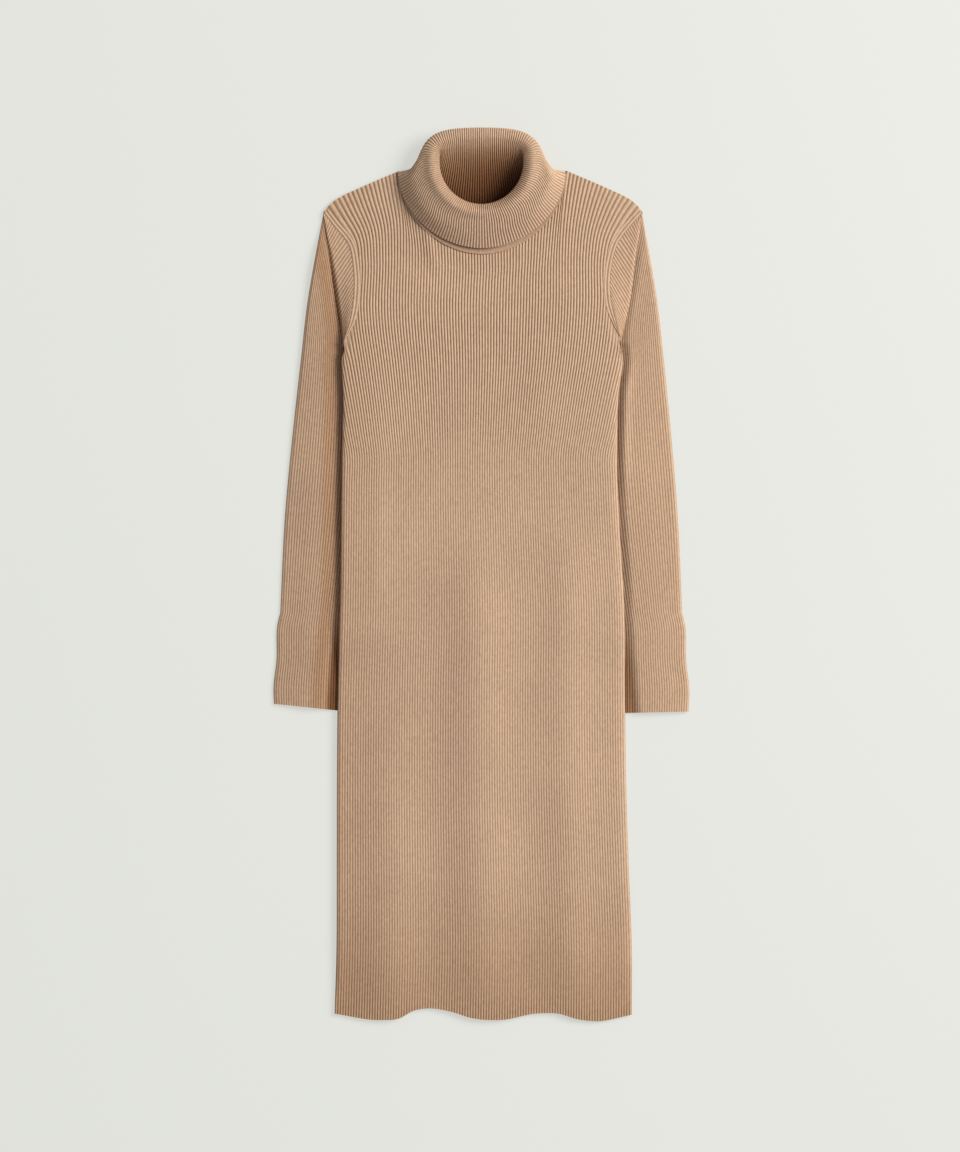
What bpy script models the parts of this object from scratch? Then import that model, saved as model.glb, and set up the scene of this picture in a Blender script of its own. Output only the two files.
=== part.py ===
"""Ribbed roll-neck sweater dress, laid flat on its back with its sleeves tucked under its sides.

Every table and constant is in millimetres, and MM turns them into metres. +X is the wearer's left,
+Y points to the neck and +Z up, away from the surface. The origin lies under the middle of the dress.
Each piece of cloth is one closed wall: a fine outer face with the ribs raised in it, and a plain,
coarser inner face. Pieces stand SEAM_GAP apart where they are linked together.
"""

from collections import namedtuple

import bmesh
import bpy
import numpy as np

MM = 0.001

# Cloth
WALL = 1.6  # the knit between its two faces, without the ribs
RIB_RELIEF = 0.9  # a rib's crest above the valleys beside it
SEAM_GAP = 0.3
LAID_FLAT = 2 * WALL + SEAM_GAP  # two walls lying on each other

# Body panels
BODY_RIBS = 112  # across the front at the hem
YOKE_RIBS = 84  # those that run on between the armholes
YOKE_RIB_PITCH = 3.75  # ribs are further apart over the chest
SIDE_ROLL = 4.0  # the fold at each side seam is a soft half round of this radius
SIDE_ROLL_WIDTH = 35.0  # how far in from the side the front comes down to the back
SLEEVE_CLEARANCE = 6.5  # the body's sides rise this far to pass over the sleeves
NECK_RISE = 2.0  # the collar lifts the front round the neckline
CENTRE_X = 1.1  # the middle of the neck, as the dress lies

# Sleeves
SLEEVE_RIBS = 26  # across the upper wall
SLEEVE_CROWN = 1.2
CUFF_STEP = 0.5  # the tighter cuff is this much thicker than the sleeve
CAP_RIDGE = 4.0  # the fold that runs down each sleeve cap

# Collar
COLLAR_RIBS = 124
CREST_HALF_WIDTH = 8.0
CREST_RISE = 7.0
STRIP_WALL = 1.2
STRIP_LIP = 4.0  # the neckline reaches this far in under the strip

SideRow = namedtuple("SideRow", "y left right")
BODY_SIDES = (
    SideRow(-548.0, -183.4, 187.8),
    SideRow(-503.5, -181.7, 188.3),
    SideRow(-431.0, -181.0, 186.9),
    SideRow(-343.5, -180.7, 183.3),
    SideRow(-181.0, -180.1, 179.5),
    SideRow(-81.0, -178.0, 179.5),
    SideRow(-6.0, -175.7, 177.0),
    SideRow(69.0, -175.2, 172.0),
    SideRow(144.0, -174.2, 169.5),
    SideRow(219.0, -173.0, 170.8),
    SideRow(290.0, -172.4, 173.8),
)

HemPoint = namedtuple("HemPoint", "x y")
HEM = (
    HemPoint(-183.4, -548.1),
    HemPoint(-125.5, -556.0),
    HemPoint(-101.7, -553.5),
    HemPoint(-86.0, -544.8),
    HemPoint(-67.5, -541.5),
    HemPoint(-38.6, -545.5),
    HemPoint(-12.2, -553.5),
    HemPoint(22.0, -556.0),
    HemPoint(72.0, -547.6),
    HemPoint(95.8, -548.1),
    HemPoint(119.5, -554.8),
    HemPoint(142.0, -557.5),
    HemPoint(187.8, -549.4),
)

# Soft folds that stand up at the hem and run out towards the waist.
Fold = namedtuple("Fold", "hem_x lean half_width height top_y")
FOLDS = (
    Fold(-119.0, 0.010, 26.0, 6.0, 60.0),
    Fold(0.0, -0.015, 34.0, 5.0, 20.0),
    Fold(128.0, -0.035, 30.0, 6.5, 90.0),
)

# The armhole seams, from the shoulder down. Below the row of the yoke they run on to the underarm.
ArmholeRow = namedtuple("ArmholeRow", "left_x left_y right_x right_y")
ARMHOLE = (
    ArmholeRow(-197.6, 453.4, 201.6, 453.4),
    ArmholeRow(-186.0, 438.0, 189.9, 440.5),
    ArmholeRow(-165.5, 410.9, 170.0, 413.0),
    ArmholeRow(-160.5, 384.0, 163.5, 390.0),
    ArmholeRow(-162.1, 331.5, 162.9, 337.8),
)
UNDERARM = (
    ArmholeRow(-162.1, 331.5, 162.9, 337.8),
    ArmholeRow(-165.7, 313.5, 167.1, 321.0),
    ArmholeRow(-170.5, 298.0, 170.8, 307.8),
    ArmholeRow(-172.4, 290.0, 173.8, 298.2),
)

# Distance out from the middle of the shoulders, and height.
SHOULDER_MIDDLE = 2.0
ShoulderPoint = namedtuple("ShoulderPoint", "out y")
SHOULDER = (
    ShoulderPoint(104.0, 505.6),
    ShoulderPoint(138.0, 491.2),
    ShoulderPoint(171.0, 476.5),
    ShoulderPoint(185.0, 469.0),
    ShoulderPoint(193.7, 461.0),
    ShoulderPoint(199.6, 453.4),
)

NECK_SIDE_Y = 503.4
NECK_HALF_WIDTH = 107.8  # to the outer edge of the neck strip
Neckline = namedtuple("Neckline", "depth exponent")
FRONT_NECK = Neckline(102.0, 2.15)
BACK_NECK = Neckline(55.0, 1.3)

# Closed rings round the neck: half width, how far the front reaches down and the back up (or down)
# from side_y, the exponents of those curves, and the heights at front, side and back. The height
# leaves its side value at turn_start of the way round, and reaches the back's at turn_end.
Ring = namedtuple(
    "Ring", "x side_y half_width front back front_exp back_exp z_front z_side z_back turn_start turn_end"
)
STRIP_OUTER = Ring(
    CENTRE_X, NECK_SIDE_Y, NECK_HALF_WIDTH, -FRONT_NECK.depth, -48.9,
    FRONT_NECK.exponent, BACK_NECK.exponent, 8.4, 6.8, 3.1, 0.29, 0.35,
)
STRIP_INNER = Ring(0.8, 491.0, 95.3, -76.5, -42.0, 1.9, 1.3, 6.8, 5.4, 3.1, 0.27, 0.34)
STAND_RING = Ring(0.8, 497.0, 92.5, -80.0, -39.5, 1.9, 1.4, 6.8, 6.4, 3.5, 0.29, 0.37)
STAND_MIDDLE = Ring(0.4, 505.0, 78.0, -69.0, -6.0, 2.0, 2.0, 26.0, 20.0, 5.5, 0.25, 0.43)
CREST_RING = Ring(0.0, 517.0, 63.0, -64.0, 31.62, 2.0, 3.4, 42.0, 36.0, 19.0, 0.20, 0.42)
FOLD_MIDDLE = Ring(0.2, 509.0, 90.0, -83.0, 35.0, 1.95, 1.3, 29.0, 24.0, 0.0, 0.26, 0.36)
FREE_EDGE = Ring(0.4, 503.5, 104.0, -94.5, -8.0, 1.9, 1.3, 11.2, 10.4, 0.0, 0.29, 0.35)

# Rows of a sleeve below its cap: where they start at the outer fold and end at the inner one.
SleeveRow = namedtuple("SleeveRow", "outer_x outer_y inner_x inner_y")
LEFT_OF_VIEW_SLEEVE = (
    SleeveRow(-210.8, 387.0, -171.2, 300.0),
    SleeveRow(-218.3, 335.0, -162.0, 272.0),
    SleeveRow(-225.6, 270.0, -155.0, 235.0),
    SleeveRow(-234.5, 190.0, -152.0, 180.0),
    SleeveRow(-245.4, 75.0, -158.0, 75.0),
    SleeveRow(-251.4, -47.2, -175.5, -47.2),
)
RIGHT_OF_VIEW_SLEEVE = (
    SleeveRow(214.8, 387.0, 172.6, 308.0),
    SleeveRow(220.6, 335.0, 162.5, 278.0),
    SleeveRow(227.8, 270.0, 154.5, 235.0),
    SleeveRow(235.7, 190.0, 151.0, 180.0),
    SleeveRow(245.2, 75.0, 157.0, 75.0),
    SleeveRow(250.9, -47.2, 175.0, -47.2),
)
LEFT_OF_VIEW_CUFF = (
    SleeveRow(-253.9, -47.5, -176.0, -47.5),
    SleeveRow(-256.1, -106.0, -185.2, -106.0),
    SleeveRow(-259.9, -143.5, -188.0, -146.0),
    SleeveRow(-259.2, -160.8, -189.2, -169.1),
)
RIGHT_OF_VIEW_CUFF = (
    SleeveRow(253.4, -47.5, 175.5, -47.5),
    SleeveRow(255.8, -106.0, 183.7, -106.0),
    SleeveRow(259.9, -146.0, 187.0, -148.0),
    SleeveRow(258.9, -170.4, 189.1, -172.2),
)

# Where each sleeve cap's fold stands, on either side of the view.
RidgeRow = namedtuple("RidgeRow", "y left right")
RIDGE = (
    RidgeRow(287.8, -172.4, 173.6),
    RidgeRow(325.3, -175.5, 177.9),
    RidgeRow(349.0, -178.0, 184.0),
    RidgeRow(385.3, -184.9, 190.5),
    RidgeRow(421.5, -193.0, 194.5),
)

CAMEL = (0.509, 0.337, 0.223, 1.0)
CAMEL_SHADED = (0.445, 0.283, 0.180, 1.0)


def column(table, name):
    """One named column of a table, as an array."""
    return np.array([getattr(row, name) for row in table])


def smooth(start, end, value):
    """0 up to start, 1 from end on, and an S-curve between them."""
    share = np.clip((value - start) / (end - start), 0.0, 1.0)
    return share * share * (3.0 - 2.0 * share)


def mix(first, second, share):
    return first + (second - first) * share


def through(knots, values, at):
    """Smooth curve through the values at rising knots: cubic pieces whose slopes are the averages of
    the slopes beside each knot. Values may be numbers, points or whole rings of points."""
    knots = np.asarray(knots, float)
    values = np.asarray(values, float)
    wide = (-1,) + (1,) * (values.ndim - 1)
    steps = np.diff(knots).reshape(wide)
    slopes = np.diff(values, axis=0) / steps
    middle = (slopes[:-1] * steps[1:] + slopes[1:] * steps[:-1]) / (steps[:-1] + steps[1:])
    tangents = np.concatenate([slopes[:1], middle, slopes[-1:]])
    at = np.clip(np.asarray(at, float), knots[0], knots[-1])
    piece = np.clip(np.searchsorted(knots, at, side="right") - 1, 0, len(knots) - 2)
    step = np.diff(knots)[piece].reshape(at.shape + (1,) * (values.ndim - 1))
    t = (at - knots[piece]).reshape(step.shape) / step
    start = values[piece]
    end = values[piece + 1]
    leave = tangents[piece] * step
    arrive = tangents[piece + 1] * step
    return (
        (2 * t**3 - 3 * t**2 + 1) * start
        + (t**3 - 2 * t**2 + t) * leave
        + (3 * t**2 - 2 * t**3) * end
        + (t**3 - t**2) * arrive
    )


# ---------------------------------------------------------------- closed walls


def cells(indices, closed):
    """Two triangles for each cell of a lattice of point numbers; a missing point is -1. All lattices
    are cut along the same diagonal, so walls with the same plan stay parallel."""
    if closed:
        indices = np.concatenate([indices, indices[:, :1]], axis=1)
    a = indices[:-1, :-1].ravel()
    b = indices[:-1, 1:].ravel()
    c = indices[1:, 1:].ravel()
    d = indices[1:, :-1].ravel()
    whole = (a >= 0) & (b >= 0) & (c >= 0) & (d >= 0)
    first = np.stack([a, b, c], axis=1)[whole]
    second = np.stack([a, c, d], axis=1)[whole]
    return np.concatenate([first, second]).tolist()


def share_along(points):
    """How far along a run of points each one lies, from 0 to 1."""
    lengths = np.linalg.norm(np.diff(points, axis=0), axis=1)
    distance = np.concatenate([[0.0], np.cumsum(lengths)])
    return distance / distance[-1]


def stitch(points, first, second):
    """Triangles that join two runs of point numbers whose counts may differ."""
    first_share = share_along(points[first])
    second_share = share_along(points[second])
    triangles = []
    i = 0
    j = 0
    while i < len(first) - 1 or j < len(second) - 1:
        at_end = j == len(second) - 1
        if at_end or (i < len(first) - 1 and first_share[i + 1] <= second_share[j + 1]):
            triangles.append((first[i], first[i + 1], second[j]))
            i += 1
        else:
            triangles.append((first[i], second[j + 1], second[j]))
            j += 1
    return triangles


def wall(name, outer, inner, edges, closed, colour):
    """One closed solid from its outer and inner faces (rows x columns x 3, a missing point is nan).
    edges gives the runs of points round the rim of a face, in the same order for both faces."""
    points = []
    lattices = []
    for face in (outer, inner):
        present = ~np.isnan(face[..., 0])
        numbers = np.full(present.shape, -1)
        numbers[present] = np.arange(present.sum()) + sum(len(part) for part in points)
        points.append(face[present])
        lattices.append(numbers)
    points = np.concatenate(points)
    triangles = cells(lattices[0], closed) + cells(lattices[1], closed)
    for outer_run, inner_run in zip(edges(lattices[0]), edges(lattices[1])):
        triangles += stitch(points, outer_run, inner_run)

    form = bmesh.new()
    corners = [form.verts.new(point) for point in (points * MM).tolist()]
    for triangle in triangles:
        form.faces.new([corners[number] for number in triangle])
    bmesh.ops.recalc_face_normals(form, faces=form.faces[:])
    mesh = bpy.data.meshes.new(name)
    form.to_mesh(mesh)
    form.free()
    mesh.materials.append(knit(name, colour))
    solid = bpy.data.objects.new(name, mesh)
    bpy.context.scene.collection.objects.link(solid)
    return solid


def ends_of_tube(numbers):
    """The two rims of a tube, each a closed run."""
    return [np.append(numbers[row], numbers[row, 0]) for row in (0, -1)]


def knit(name, colour):
    """Matt wool-blend knit."""
    material = bpy.data.materials.new("rib_knit_" + name)
    material.use_nodes = True
    shader = material.node_tree.nodes["Principled BSDF"]
    shader.inputs["Base Color"].default_value = colour
    shader.inputs["Roughness"].default_value = 0.9
    shader.inputs["Metallic"].default_value = 0.0
    return material


def rib_numbers(ribs):
    """Rib numbers across a face at its crests and valleys, counted from the middle."""
    return np.linspace(-ribs / 2, ribs / 2, 2 * ribs + 1)


def zigzag(count):
    """0 in a valley and 1 on a crest, for a run of points that starts in a valley."""
    return (np.arange(count) % 2).astype(float)


# ---------------------------------------------------------------- front and back

LOWER_ROWS_Y = (-470.0, -260.0, -50.0, 110.0, 215.0)
COARSE_RIBS = (56, 55.3, 54.4, 52, 49.5, 47, 44.5, 42, 39.5, 36, 30, 27, 24.5, 21.5, 17, 9)
LEAN_FROM_Y = 144.0  # below this the ribs hang straight down
YOKE_Y = 300.0


def side_x(y):
    """The x of both sides of the body at a height, armholes included."""
    heights = np.concatenate([column(BODY_SIDES, "y")[:-1], column(UNDERARM[::-1], "left_y")])
    left = np.concatenate([column(BODY_SIDES, "left")[:-1], column(UNDERARM[::-1], "left_x")])
    right = np.concatenate([column(BODY_SIDES, "right")[:-1], column(UNDERARM[::-1], "right_x")])
    return through(heights, left, y), through(heights, right, y)


def hem_y(x):
    return through(column(HEM, "x"), column(HEM, "y"), x)


def top_y(x, neck):
    """The upper edge of a panel: shoulder, neckline, shoulder. The neckline is STRIP_LIP inside the
    strip's outer edge."""
    shoulder = np.interp(np.abs(x - SHOULDER_MIDDLE), column(SHOULDER, "out"), column(SHOULDER, "y"))
    out = np.abs(x - CENTRE_X) / (NECK_HALF_WIDTH - STRIP_LIP)
    dip = (1.0 - np.minimum(out, 1.0) ** neck.exponent) ** (1.0 / neck.exponent)
    return np.where(out < 1.0, NECK_SIDE_Y - (neck.depth - STRIP_LIP) * dip, shoulder)


def yoke_x(rib, left, right):
    """Across the yoke the ribs keep their pitch in the middle and flare out beside the armholes."""
    out = rib / (YOKE_RIBS / 2)
    half = (right - left) / 2
    even = np.minimum(half, YOKE_RIB_PITCH * YOKE_RIBS / 2)
    return (left + right) / 2 + out * even + np.sign(out) * (half - even) * np.abs(out) ** 5


def underarm_row(rib):
    """The row that crosses the body at the foot of the yoke and follows the seam to each underarm."""
    yoke = YOKE_RIBS / 2
    x = yoke_x(rib, UNDERARM[0].left_x, UNDERARM[0].right_x)
    y = mix(UNDERARM[0].left_y, UNDERARM[0].right_y, (rib + yoke) / (2 * yoke))
    past = (np.abs(rib) - yoke) / (BODY_RIBS / 2 - yoke)
    steps = np.linspace(0.0, 1.0, len(UNDERARM))
    for side, end in (("left", rib < -yoke), ("right", rib > yoke)):
        x = np.where(end, np.interp(past, steps, column(UNDERARM, side + "_x")), x)
        y = np.where(end, np.interp(past, steps, column(UNDERARM, side + "_y")), y)
    return x, y


def panel_plan(rib, neck, inset):
    """x, y and roundness of a panel's lattice. Rows run from the hem to the underarms over all ribs,
    and on to the shoulders over the yoke's ribs alone. inset draws the side folds in for an inner
    face, and roundness is 1 in the rows whose sides are rounded."""
    spread, _ = underarm_row(rib)
    spread = (spread - spread[0]) / (spread[-1] - spread[0])
    even = (rib - rib[0]) / (rib[-1] - rib[0])
    rows_x = []
    rows_y = []
    hem_left, hem_right = side_x(BODY_SIDES[0].y)
    hem_x = mix(hem_left + inset, hem_right - inset, even)
    rows_x.append(hem_x)
    rows_y.append(hem_y(hem_x))
    for y in LOWER_ROWS_Y:
        left, right = side_x(y)
        lean = smooth(LEAN_FROM_Y, YOKE_Y, y)
        rows_x.append(mix(left + inset, right - inset, mix(even, spread, lean)))
        rows_y.append(np.full(len(rib), y))
    x, y = underarm_row(rib)
    rows_x.append(x)
    rows_y.append(y)
    foot_y = y

    in_yoke = np.abs(rib) <= YOKE_RIBS / 2 + 1e-6
    across = (rib + YOKE_RIBS / 2) / YOKE_RIBS
    top_x = yoke_x(rib, ARMHOLE[0].left_x, ARMHOLE[0].right_x)
    top = top_y(top_x, neck)
    for row in ARMHOLE[-2::-1]:
        climb_left = (row.left_y - ARMHOLE[-1].left_y) / (ARMHOLE[0].left_y - ARMHOLE[-1].left_y)
        climb_right = (row.right_y - ARMHOLE[-1].right_y) / (ARMHOLE[0].right_y - ARMHOLE[-1].right_y)
        climb = mix(climb_left, climb_right, across)
        rows_x.append(np.where(in_yoke, yoke_x(rib, row.left_x, row.right_x), np.nan))
        rows_y.append(np.where(in_yoke, mix(foot_y, top, climb), np.nan))
    roundness = np.zeros(len(rows_x))
    roundness[: len(LOWER_ROWS_Y) + 1] = 1.0
    return np.array(rows_x), np.array(rows_y), roundness[:, None]


def inward(x, y):
    """Distance in from the nearer side."""
    left, right = side_x(y)
    return np.minimum(x - left, right - x)


def lift(x, y):
    """How far the body stands above the surface, where it passes over a sleeve."""
    foot = np.where(x < 0, UNDERARM[-1].left_y, UNDERARM[-1].right_y)
    over_sleeve = smooth(-130.0, -62.0, y) * (1.0 - smooth(12.0, 39.0, y - foot))
    return SLEEVE_CLEARANCE * over_sleeve * (1.0 - smooth(24.0, 50.0, inward(x, y)))


def fold_height(x, y):
    """The soft folds of the front: each a round ridge that grows towards the hem."""
    height = np.zeros_like(x)
    for fold in FOLDS:
        ridge_x = fold.hem_x + fold.lean * (y - BODY_SIDES[0].y)
        across = np.exp(-(((x - ridge_x) / fold.half_width) ** 2))
        height += fold.height * across * (1.0 - smooth(BODY_SIDES[0].y - 150.0, fold.top_y, y))
    return height


def front_top(x, y):
    """The front's outer face without its ribs."""
    roll = 2 * SIDE_ROLL - LAID_FLAT
    roll = roll * (1.0 - smooth(SIDE_ROLL, SIDE_ROLL_WIDTH, inward(x, y))) * (1.0 - smooth(225.0, 320.0, y))
    to_neck = np.hypot((x - CENTRE_X) / NECK_HALF_WIDTH, (y - NECK_SIDE_Y) / FRONT_NECK.depth)
    rise = NECK_RISE * (1.0 - smooth(1.0, 1.5, to_neck)) * (1.0 - smooth(400.0, 450.0, y))
    inside = smooth(0.0, 30.0, inward(x, y))
    return lift(x, y) + LAID_FLAT + roll + rise + inside * fold_height(x, y)


def side_round(x, y, radius, inset, roundness):
    """Quarter circle from 0 at a side seam to 1 at the top of the side's fold."""
    reach = np.clip((inward(x, y) - inset) / radius, 0.0, 1.0)
    quarter = np.sqrt(np.clip(1.0 - (1.0 - reach) ** 2, 0.0, 1.0))
    return mix(1.0, quarter, roundness)


def panel_face(rib, neck, height, seam, inset, ribbed):
    """One face of a panel. height gives its level inside the side folds, and seam is how far above
    the surface the side seam lies."""
    x, y, roundness = panel_plan(rib, neck, inset)
    plan_x = np.nan_to_num(x)
    plan_y = np.nan_to_num(y)
    rounded = side_round(plan_x, plan_y, SIDE_ROLL - inset, inset, roundness)
    level = height(plan_x, plan_y)
    seam_z = lift(plan_x, plan_y) + seam
    relief = RIB_RELIEF * zigzag(len(rib)) * smooth(0.1, 0.9, rounded) if ribbed else 0.0
    z = mix(seam_z, level, rounded) + relief
    return np.stack([x, y, np.where(np.isnan(x), np.nan, z)], axis=-1)


def panel_edges(numbers):
    """The rim of a panel's face: hem, then up one side and armhole, over the top, and down again."""
    underarm = len(LOWER_ROWS_Y) + 1
    yoke = np.flatnonzero(numbers[-1] >= 0)
    first = yoke[0]
    last = yoke[-1]
    return [
        numbers[0],
        numbers[: underarm + 1, -1],
        numbers[underarm, last:][::-1],
        numbers[underarm:, last],
        numbers[-1, first : last + 1][::-1],
        numbers[underarm:, first][::-1],
        numbers[underarm, : first + 1][::-1],
        numbers[: underarm + 1, 0][::-1],
    ]


def coarse_ribs():
    half = np.array(COARSE_RIBS, float)
    return np.concatenate([-half, [0.0], half[::-1]])


def make_front():
    above_seam = SIDE_ROLL + SEAM_GAP / 2
    outer = panel_face(rib_numbers(BODY_RIBS), FRONT_NECK, front_top, above_seam, 0.0, ribbed=True)
    inner = panel_face(
        coarse_ribs(), FRONT_NECK, lambda x, y: front_top(x, y) - WALL, above_seam, WALL, ribbed=False
    )
    return wall("front", outer, inner, panel_edges, False, CAMEL)


def make_back():
    below_seam = SIDE_ROLL - SEAM_GAP / 2
    outer = panel_face(coarse_ribs(), BACK_NECK, lift, below_seam, 0.0, ribbed=False)
    inner = panel_face(
        coarse_ribs(), BACK_NECK, lambda x, y: lift(x, y) + WALL, below_seam, WALL, ribbed=False
    )
    return wall("back", outer, inner, panel_edges, False, CAMEL_SHADED)


# ---------------------------------------------------------------- sleeves and cuffs

COARSE_SHARES = (0.0, 0.03, 0.2, 0.4, 0.6, 0.8, 0.97, 1.0)
FOLD_SHARE = 0.035  # the part of a sleeve's width that its rounded folds take on each side


def cap_row(side, share):
    """The sleeve's edge along the armhole, one seam gap outside the body."""
    seam = ARMHOLE + UNDERARM[1:2]
    x = column(seam, side + "_x")
    y = column(seam, side + "_y")
    along = share_along(np.stack([x, y], axis=1))
    outward = -1.0 if side == "left" else 1.0
    return np.interp(share, along, x) + outward * 2 * SEAM_GAP, np.interp(share, along, y)


def straight_row(row, share):
    return mix(row.outer_x, row.inner_x, share), mix(row.outer_y, row.inner_y, share)


def fold_round(share):
    """Quarter circles from 0 at the two folds of a flat tube to 1 inside them."""
    reach = np.clip(np.minimum(share, 1.0 - share) / FOLD_SHARE, 0.0, 1.0)
    return np.sqrt(np.clip(1.0 - (1.0 - reach) ** 2, 0.0, 1.0))


def sleeve_top(x, y, share, crown):
    """The upper wall: a slight crown, and the cap's fold with a steep outer side."""
    ridge_side = "left" if x[0] < 0 else "right"
    ridge_x = through(column(RIDGE, "y"), column(RIDGE, ridge_side), y)
    outside = (x - ridge_x) * np.sign(ridge_x)
    width = np.where(outside > 0, 5.0, 14.0)
    ridge = CAP_RIDGE * np.exp(-((outside / width) ** 2))
    ridge *= smooth(296.0, 330.0, y) * (1.0 - smooth(360.0, 440.0, y))
    ridge *= smooth(0.0, 7.0, -inward(x, y))
    return LAID_FLAT + crown * 4.0 * share * (1.0 - share) + ridge


def tube_face(rows, top_shares, bottom_shares, thick, crown, inner, ribbed, cap_side):
    """One face of a flattened tube, a closed run of points a row: over the top from the outer fold
    to the inner one, and back underneath. An inner face is drawn in by the wall all round."""
    top_shares = np.asarray(top_shares, float)
    bottom_shares = np.asarray(bottom_shares, float)
    shares = np.concatenate([top_shares, bottom_shares])
    upper = np.arange(len(shares)) < len(top_shares)
    relief = np.zeros(len(shares))
    if ribbed:
        relief[upper] = RIB_RELIEF * zigzag(len(top_shares))
    face = []
    for number, row in enumerate(rows):
        at_cap = cap_side is not None and number == 0
        width = 180.0 if at_cap else abs(row.outer_x - row.inner_x)
        drawn_in = mix(WALL / width, 1.0 - WALL / width, shares) if inner else shares
        x, y = cap_row(cap_side, drawn_in) if at_cap else straight_row(row, drawn_in)
        top = sleeve_top(x, y, shares, crown) + thick
        middle = top / 2
        rounded = fold_round(shares)
        floor = WALL if inner else 0.0
        ceiling = top - WALL if inner else top
        z = np.where(upper, mix(middle, ceiling, rounded), mix(middle, floor, rounded))
        face.append(np.stack([x, y, z + relief * rounded], axis=-1))
    return np.array(face)


def make_tube(name, rows, thick, crown, cap_side, colour):
    """A sleeve or cuff: a flattened tube, ribbed above and plain where it rests."""
    top = np.linspace(0.0, 1.0, 2 * SLEEVE_RIBS + 1)
    back = np.array(COARSE_SHARES[-2:0:-1])
    outer = tube_face(rows, top, back, thick, crown, False, True, cap_side)
    inner = tube_face(rows, COARSE_SHARES, back, thick, crown, True, False, cap_side)
    return wall(name, outer, inner, ends_of_tube, True, colour)


def make_sleeves():
    cap = SleeveRow(0.0, 0.0, 0.0, 0.0)
    make_tube("sleeve_right", (cap,) + LEFT_OF_VIEW_SLEEVE, 0.0, SLEEVE_CROWN, "left", CAMEL_SHADED)
    make_tube("sleeve_left", (cap,) + RIGHT_OF_VIEW_SLEEVE, 0.0, SLEEVE_CROWN, "right", CAMEL)
    make_tube("cuff_right", LEFT_OF_VIEW_CUFF, CUFF_STEP, 0.0, None, CAMEL_SHADED)
    make_tube("cuff_left", RIGHT_OF_VIEW_CUFF, CUFF_STEP, 0.0, None, CAMEL)


# ---------------------------------------------------------------- collar and neck strip

RING_SAMPLES = 1440
PATH_ROWS = (0.0, 0.5, 1.0, 1.25, 1.5, 1.75, 2.0, 2.5, 3.0)  # stand, crest, fold-over


def ring_points(ring, count):
    """Evenly spaced points round a ring, from the middle of the front towards +X."""
    turn = np.linspace(0.0, 2 * np.pi, RING_SAMPLES + 1)
    front = np.cos(turn) >= 0
    exponent = np.where(front, ring.front_exp, ring.back_exp)
    reach = np.where(front, ring.front, ring.back)
    x = ring.x + ring.half_width * np.sign(np.sin(turn)) * np.abs(np.sin(turn)) ** (2 / exponent)
    y = ring.side_y + reach * np.abs(np.cos(turn)) ** (2 / exponent)
    along = share_along(np.stack([x, y], axis=1))
    share = np.arange(count) / count
    halfway = 0.5 - np.abs(share - 0.5)
    z = mix(ring.z_front, ring.z_side, smooth(0.0, 0.25, halfway))
    z = mix(z, ring.z_back, smooth(ring.turn_start, ring.turn_end, halfway))
    return np.stack([np.interp(share, along, x), np.interp(share, along, y), z], axis=1)


def outward_of(points):
    """Level unit vectors that point out of a ring."""
    ahead = np.roll(points, -1, axis=0) - np.roll(points, 1, axis=0)
    out = np.stack([ahead[:, 1], -ahead[:, 0], np.zeros(len(points))], axis=1)
    return out / np.linalg.norm(out, axis=1)[:, None]


def collar_face(count):
    """The collar's outer face, rows x count x 3: up the inside of the neck, over the crest and down
    the fold-over to its free edge."""
    crest = ring_points(CREST_RING, count)
    out = outward_of(crest) * CREST_HALF_WIDTH
    up = np.array([0.0, 0.0, CREST_RISE])
    rings = np.array(
        [
            ring_points(STAND_RING, count),
            ring_points(STAND_MIDDLE, count),
            crest - out,
            crest + up,
            crest + out,
            ring_points(FOLD_MIDDLE, count),
            ring_points(FREE_EDGE, count),
        ]
    )
    steps = np.linalg.norm(np.diff(rings, axis=0), axis=2).mean(axis=1)
    knots = np.concatenate([[0.0], np.cumsum(steps)])
    stages = np.interp(PATH_ROWS, [0, 0.5, 1.0, 1.5, 2.0, 2.5, 3.0], knots)
    face = through(knots, rings, stages)
    face[..., 2] = np.maximum(face[..., 2], 0.0)
    return face


def face_normals(face):
    """Unit normals of a closed lattice, on the side that the ribs are raised on. At a bend they point
    halfway between the rows' directions."""
    around = np.roll(face, -1, axis=1) - np.roll(face, 1, axis=1)
    steps = np.diff(face, axis=0)
    steps /= np.linalg.norm(steps, axis=2)[..., None]
    along = np.concatenate([steps[:1], steps[:-1] + steps[1:], steps[-1:]])
    normal = np.cross(along, around)
    return normal / np.linalg.norm(normal, axis=2)[..., None]


def make_collar():
    fine = collar_face(2 * COLLAR_RIBS)
    normal = face_normals(fine)
    resting = (normal[..., 2] < 0.3) & (fine[..., 2] < 6.0)
    relief = np.where(resting, 0.0, RIB_RELIEF) * zigzag(2 * COLLAR_RIBS)
    outer = fine + normal * relief[..., None]
    plain = collar_face(COLLAR_RIBS)
    inner = plain - face_normals(plain) * WALL
    return wall("collar", outer, inner, ends_of_tube, True, CAMEL)


def make_neck_strip():
    """The plain strip between collar and panels. It lies flat on the panels' neck edges, and its
    inner edge stays inside its outer one all the way round."""
    count = COLLAR_RIBS // 2
    edge = ring_points(STRIP_OUTER, count)
    inner = ring_points(STRIP_INNER, count)
    top = np.array([inner, mix(inner, edge, 0.5), edge])
    bottom = top - np.array([0.0, 0.0, STRIP_WALL])
    return wall("neck_strip", top, bottom, ends_of_tube, True, CAMEL_SHADED)


def clear_scene():
    for item in list(bpy.data.objects):
        bpy.data.objects.remove(item, do_unlink=True)


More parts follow.
